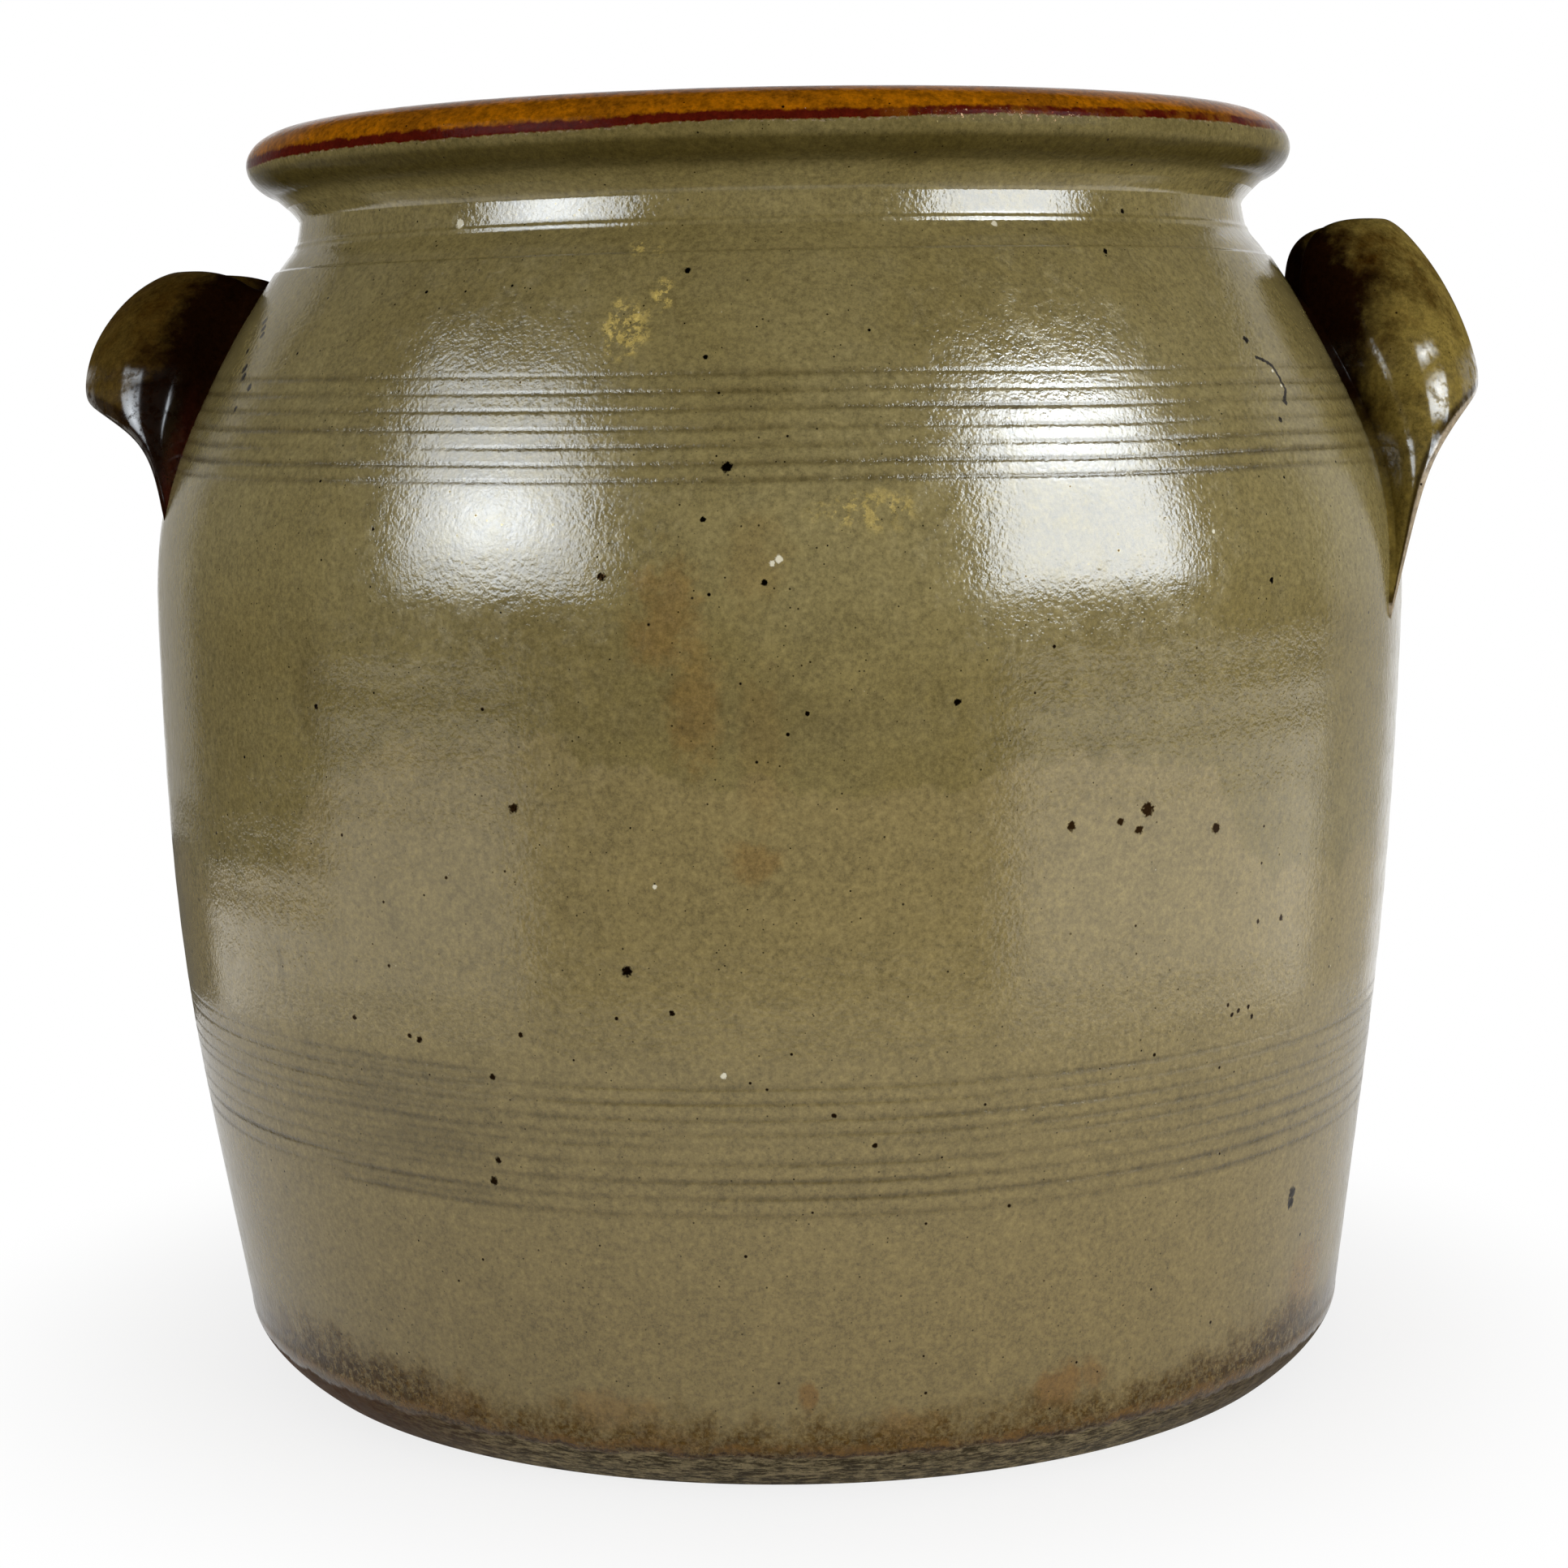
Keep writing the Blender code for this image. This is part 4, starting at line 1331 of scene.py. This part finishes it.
# %% [markdown]
# Floor, room and lamps
#
# Pottery is lit with two large soft boxes, left and right of the camera. The lamps here do the lighting, and
# a bright panel at each lamp's place is what the glaze mirrors, as the cloth of a soft box would be. The
# room behind the camera is dim, with pale table tops low down on both sides, and the glaze mirrors those
# too. The background is white because the world is, wherever the camera or a mirror looks at it.

# %% Set the world
FILL_LIGHT = 0.42


def make_world():
    world = bpy.data.worlds.new("studio")
    bpy.context.scene.world = world
    world.use_nodes = True
    tree = world.node_tree
    tree.nodes.clear()
    path = add(tree, "ShaderNodeLightPath")
    seen = larger(path.outputs["Is Camera Ray"], path.outputs["Is Glossy Ray"])
    seen = larger(seen, path.outputs["Is Transmission Ray"])
    fill = add(tree, "ShaderNodeBackground", Color=(1, 1, 1, 1), Strength=FILL_LIGHT)
    white = add(tree, "ShaderNodeBackground", Color=(1, 1, 1, 1), Strength=1.0)
    mixed = chain("ShaderNodeMixShader", {}, seen, fill.outputs[0], white.outputs[0])
    end = add(tree, "ShaderNodeOutputWorld")
    join(mixed.outputs[0], end.inputs["Surface"])


make_world()
print("world fill", FILL_LIGHT)

# %% Lay the floor
FLOOR_RADIUS = 0.40
FLOOR_SHADOW_STARTS = 0.112
FLOOR_SHADOW_ENDS = 0.22
FLOOR_LIFT = 0.80
FLOOR_MIRRORED = 0.5
FLOOR_LEVEL = -0.0002
FLOOR_COLOUR = (0.86, 0.86, 0.85)


def make_floor():
    """A round pale floor, plain white to the camera beyond the pot's shadow."""
    rim = [tuple(around(bearing, FLOOR_RADIUS, FLOOR_LEVEL)) for bearing in range(0, 360, 3)]
    floor = put("floor", mesh_from("floor", rim, [list(range(len(rim)))]))
    material, tree, shader = glaze_material("pale_floor")
    join((*FLOOR_COLOUR, 1), shader.inputs["Base Color"])
    join(0.9, shader.inputs["Roughness"])
    join(0.0, shader.inputs["Specular IOR Level"])
    away = vector("LENGTH", clay_place(tree))
    path = add(tree, "ShaderNodeLightPath")
    far = spread(away, FLOOR_SHADOW_STARTS, FLOOR_SHADOW_ENDS, FLOOR_LIFT, 1.0)
    white = add(tree, "ShaderNodeEmission", Color=(1, 1, 1, 1), Strength=1.0)
    mirrored = times(path.outputs["Is Glossy Ray"], FLOOR_MIRRORED)
    seen = larger(path.outputs["Is Camera Ray"], mirrored)
    mixed = chain("ShaderNodeMixShader", {}, times(far, seen), shader.outputs[0], white.outputs[0])
    join(mixed.outputs[0], tree.nodes["Material Output"].inputs["Surface"])
    floor.data.materials.append(material)


make_floor()
print(f"floor {2 * FLOOR_RADIUS:.2f} m across")

# %% Describe a lamp
LAMP_DISTANCE = 1.7
LAMP_POWER = 17.5
LAMP_TARGET = (0, 0, 0.13)


def make_lamp(name, bearing, height, width, tall, power):
    light = bpy.data.lights.new(name, "AREA")
    light.shape = "RECTANGLE"
    light.size = width
    light.size_y = tall
    light.energy = power
    lamp = put(name, light)
    lamp.location = around(bearing, LAMP_DISTANCE, height)
    lamp.rotation_mode = "QUATERNION"
    lamp.rotation_quaternion = (Vector(LAMP_TARGET) - lamp.location).to_track_quat("-Z", "Y")
    lamp.visible_camera = False
    lamp.visible_glossy = False


print("lamps stand", LAMP_DISTANCE, "m away")

# %% Describe a panel that the glaze mirrors
PANEL_DISTANCE = 1.55
PANEL_STEPS = 25
PANEL_EDGE = 0.035
PANEL_HOT = 1.7
PANEL_HOT_WIDTH = 0.28
PANEL_HOT_HEIGHT = 0.25
PANEL_COLOUR = (0.86, 0.93, 1.0)


def shining(name, points, faces, colour, glow):
    """A sheet that only shows in reflections, as bright as a value at its points says."""
    sheet = put(name, mesh_from(name, points, faces))
    set_mark(sheet.data, "glow", np.broadcast_to(glow, len(points)))
    material = bpy.data.materials.new(name)
    material.use_nodes = True
    tree = material.node_tree
    tree.nodes.clear()
    shine = add(tree, "ShaderNodeEmission", Color=(*colour, 1), Strength=mark_on(tree, "glow"))
    end = add(tree, "ShaderNodeOutputMaterial")
    join(shine.outputs[0], end.inputs["Surface"])
    sheet.data.materials.append(material)
    for other in ("camera", "diffuse", "shadow", "transmission", "volume_scatter"):
        setattr(sheet, "visible_" + other, False)


def make_panel(name, first, last, bottom, tops, lean_over, hot_level, strength):
    """A curved panel between two bearings that leans over as it rises, with a hot middle and soft edges."""
    shares = np.linspace(0, 1, PANEL_STEPS)
    points = []
    for share in shares:
        for level in shares:
            bearing = first + (last - first) * share + lean_over * level**2
            top = tops[0] + (tops[1] - tops[0]) * share
            points.append(tuple(around(bearing, PANEL_DISTANCE, bottom + (top - bottom) * level)))
    faces = []
    for i in range(PANEL_STEPS - 1):
        for k in range(i * PANEL_STEPS, (i + 1) * PANEL_STEPS - 1):
            faces.append((k, k + 1, k + PANEL_STEPS + 1, k + PANEL_STEPS))
    edge = smooth(0, PANEL_EDGE, np.minimum(shares, 1 - shares))
    aside = (shares[:, None] - 0.5) / PANEL_HOT_WIDTH
    above = (shares[None, :] - hot_level) / PANEL_HOT_HEIGHT
    glow = strength * edge[:, None] * edge[None, :] * (1 + PANEL_HOT * np.exp(-(aside**2) - above**2))
    shining(name, points, faces, PANEL_COLOUR, glow.ravel())


print("panels stand", PANEL_DISTANCE, "m away")

# %% Describe the walls and the ceiling of the room
ROOM_DISTANCE = 2.2
CEILING_RADIUS = 1.6 * ROOM_DISTANCE
WALL_STEPS = 32
ROOM_COLOUR = (1.0, 0.97, 0.9)
ROOM_BOTTOM = -1.6
ROOM_MIDDLE = 1.3
ROOM_TOP = 3.4


def make_wall(name, first, last, bottom, top, brightness):
    """Part of the dim room, as a curved wall between two bearings."""
    across = np.linspace(first, last, WALL_STEPS + 1)
    points = [tuple(around(bearing, ROOM_DISTANCE, level)) for level in (bottom, top) for bearing in across]
    faces = [(i, i + 1, i + WALL_STEPS + 2, i + WALL_STEPS + 1) for i in range(WALL_STEPS)]
    shining(name, points, faces, ROOM_COLOUR, brightness)


def make_ceiling(height, brightness):
    """The dark ceiling of the studio, which keeps the lip and the shoulder from mirroring white."""
    points = [tuple(around(bearing, CEILING_RADIUS, height)) for bearing in range(0, 360, 10)]
    shining("room_ceiling", points, [list(range(len(points)))], ROOM_COLOUR, brightness)


print("walls stand", ROOM_DISTANCE, "m away")

# %% Furnish the studio
TURN = math.degrees(CAMERA_TURN)
TABLE_TOP = -0.12
TABLE_CORNER = -0.34
SHADE_TOP = -0.20
DIM = 0.09

# Name, first and last bearing from the camera's own, bottom, top and brightness
ROOM = [
    ("room_front", -130, 112, TABLE_TOP, ROOM_TOP, DIM),
    ("table_front", -45, 40, ROOM_BOTTOM, TABLE_TOP, 0.2),
    ("table_left", -86, -45, ROOM_BOTTOM, TABLE_TOP, 1.5),
    ("table_far_left", -130, -86, ROOM_BOTTOM, TABLE_CORNER, 1.5),
    ("table_gap_left", -130, -86, TABLE_CORNER, TABLE_TOP, DIM),
    ("table_right", 40, 112, ROOM_BOTTOM, TABLE_TOP, 2.0),
    ("shade_left", -176, -130, ROOM_BOTTOM, SHADE_TOP, 0.12),
    ("room_left", -160, -130, SHADE_TOP, ROOM_MIDDLE, 0.45),
    ("room_right", 112, 145, ROOM_BOTTOM, ROOM_MIDDLE, 0.60),
    ("room_left_high", -160, -130, ROOM_MIDDLE, ROOM_TOP, 0.06),
    ("room_right_high", 112, 145, ROOM_MIDDLE, ROOM_TOP, 0.06),
]
make_lamp("lamp_left", TURN - 50, 0.25, width=1.2, tall=1.0, power=0.70 * LAMP_POWER)
make_lamp("lamp_right", TURN + 55, 0.30, width=1.2, tall=1.0, power=1.25 * LAMP_POWER)
make_panel("panel_left", TURN - 68, TURN - 30, 0.28, (1.56, 2.07), -20, hot_level=0.34, strength=7.9)
make_panel("panel_right", TURN + 34, TURN + 74, 0.20, (2.06, 1.54), 11, hot_level=0.95, strength=14.5)
for name, first, last, bottom, top, brightness in ROOM:
    make_wall(name, TURN + first, TURN + last, bottom, top, brightness)
make_ceiling(ROOM_TOP, 0.02)
print("lamps and panels in place")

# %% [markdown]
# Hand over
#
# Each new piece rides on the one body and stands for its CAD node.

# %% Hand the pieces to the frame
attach(pot, "root")
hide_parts("pot_body")
for strap in (RIGHT_STRAP, LEFT_STRAP):
    piece = straps[strap["name"]]
    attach(piece, "root")
    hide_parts(strap["node"])

bpy.context.scene.view_settings.view_transform = "Standard"
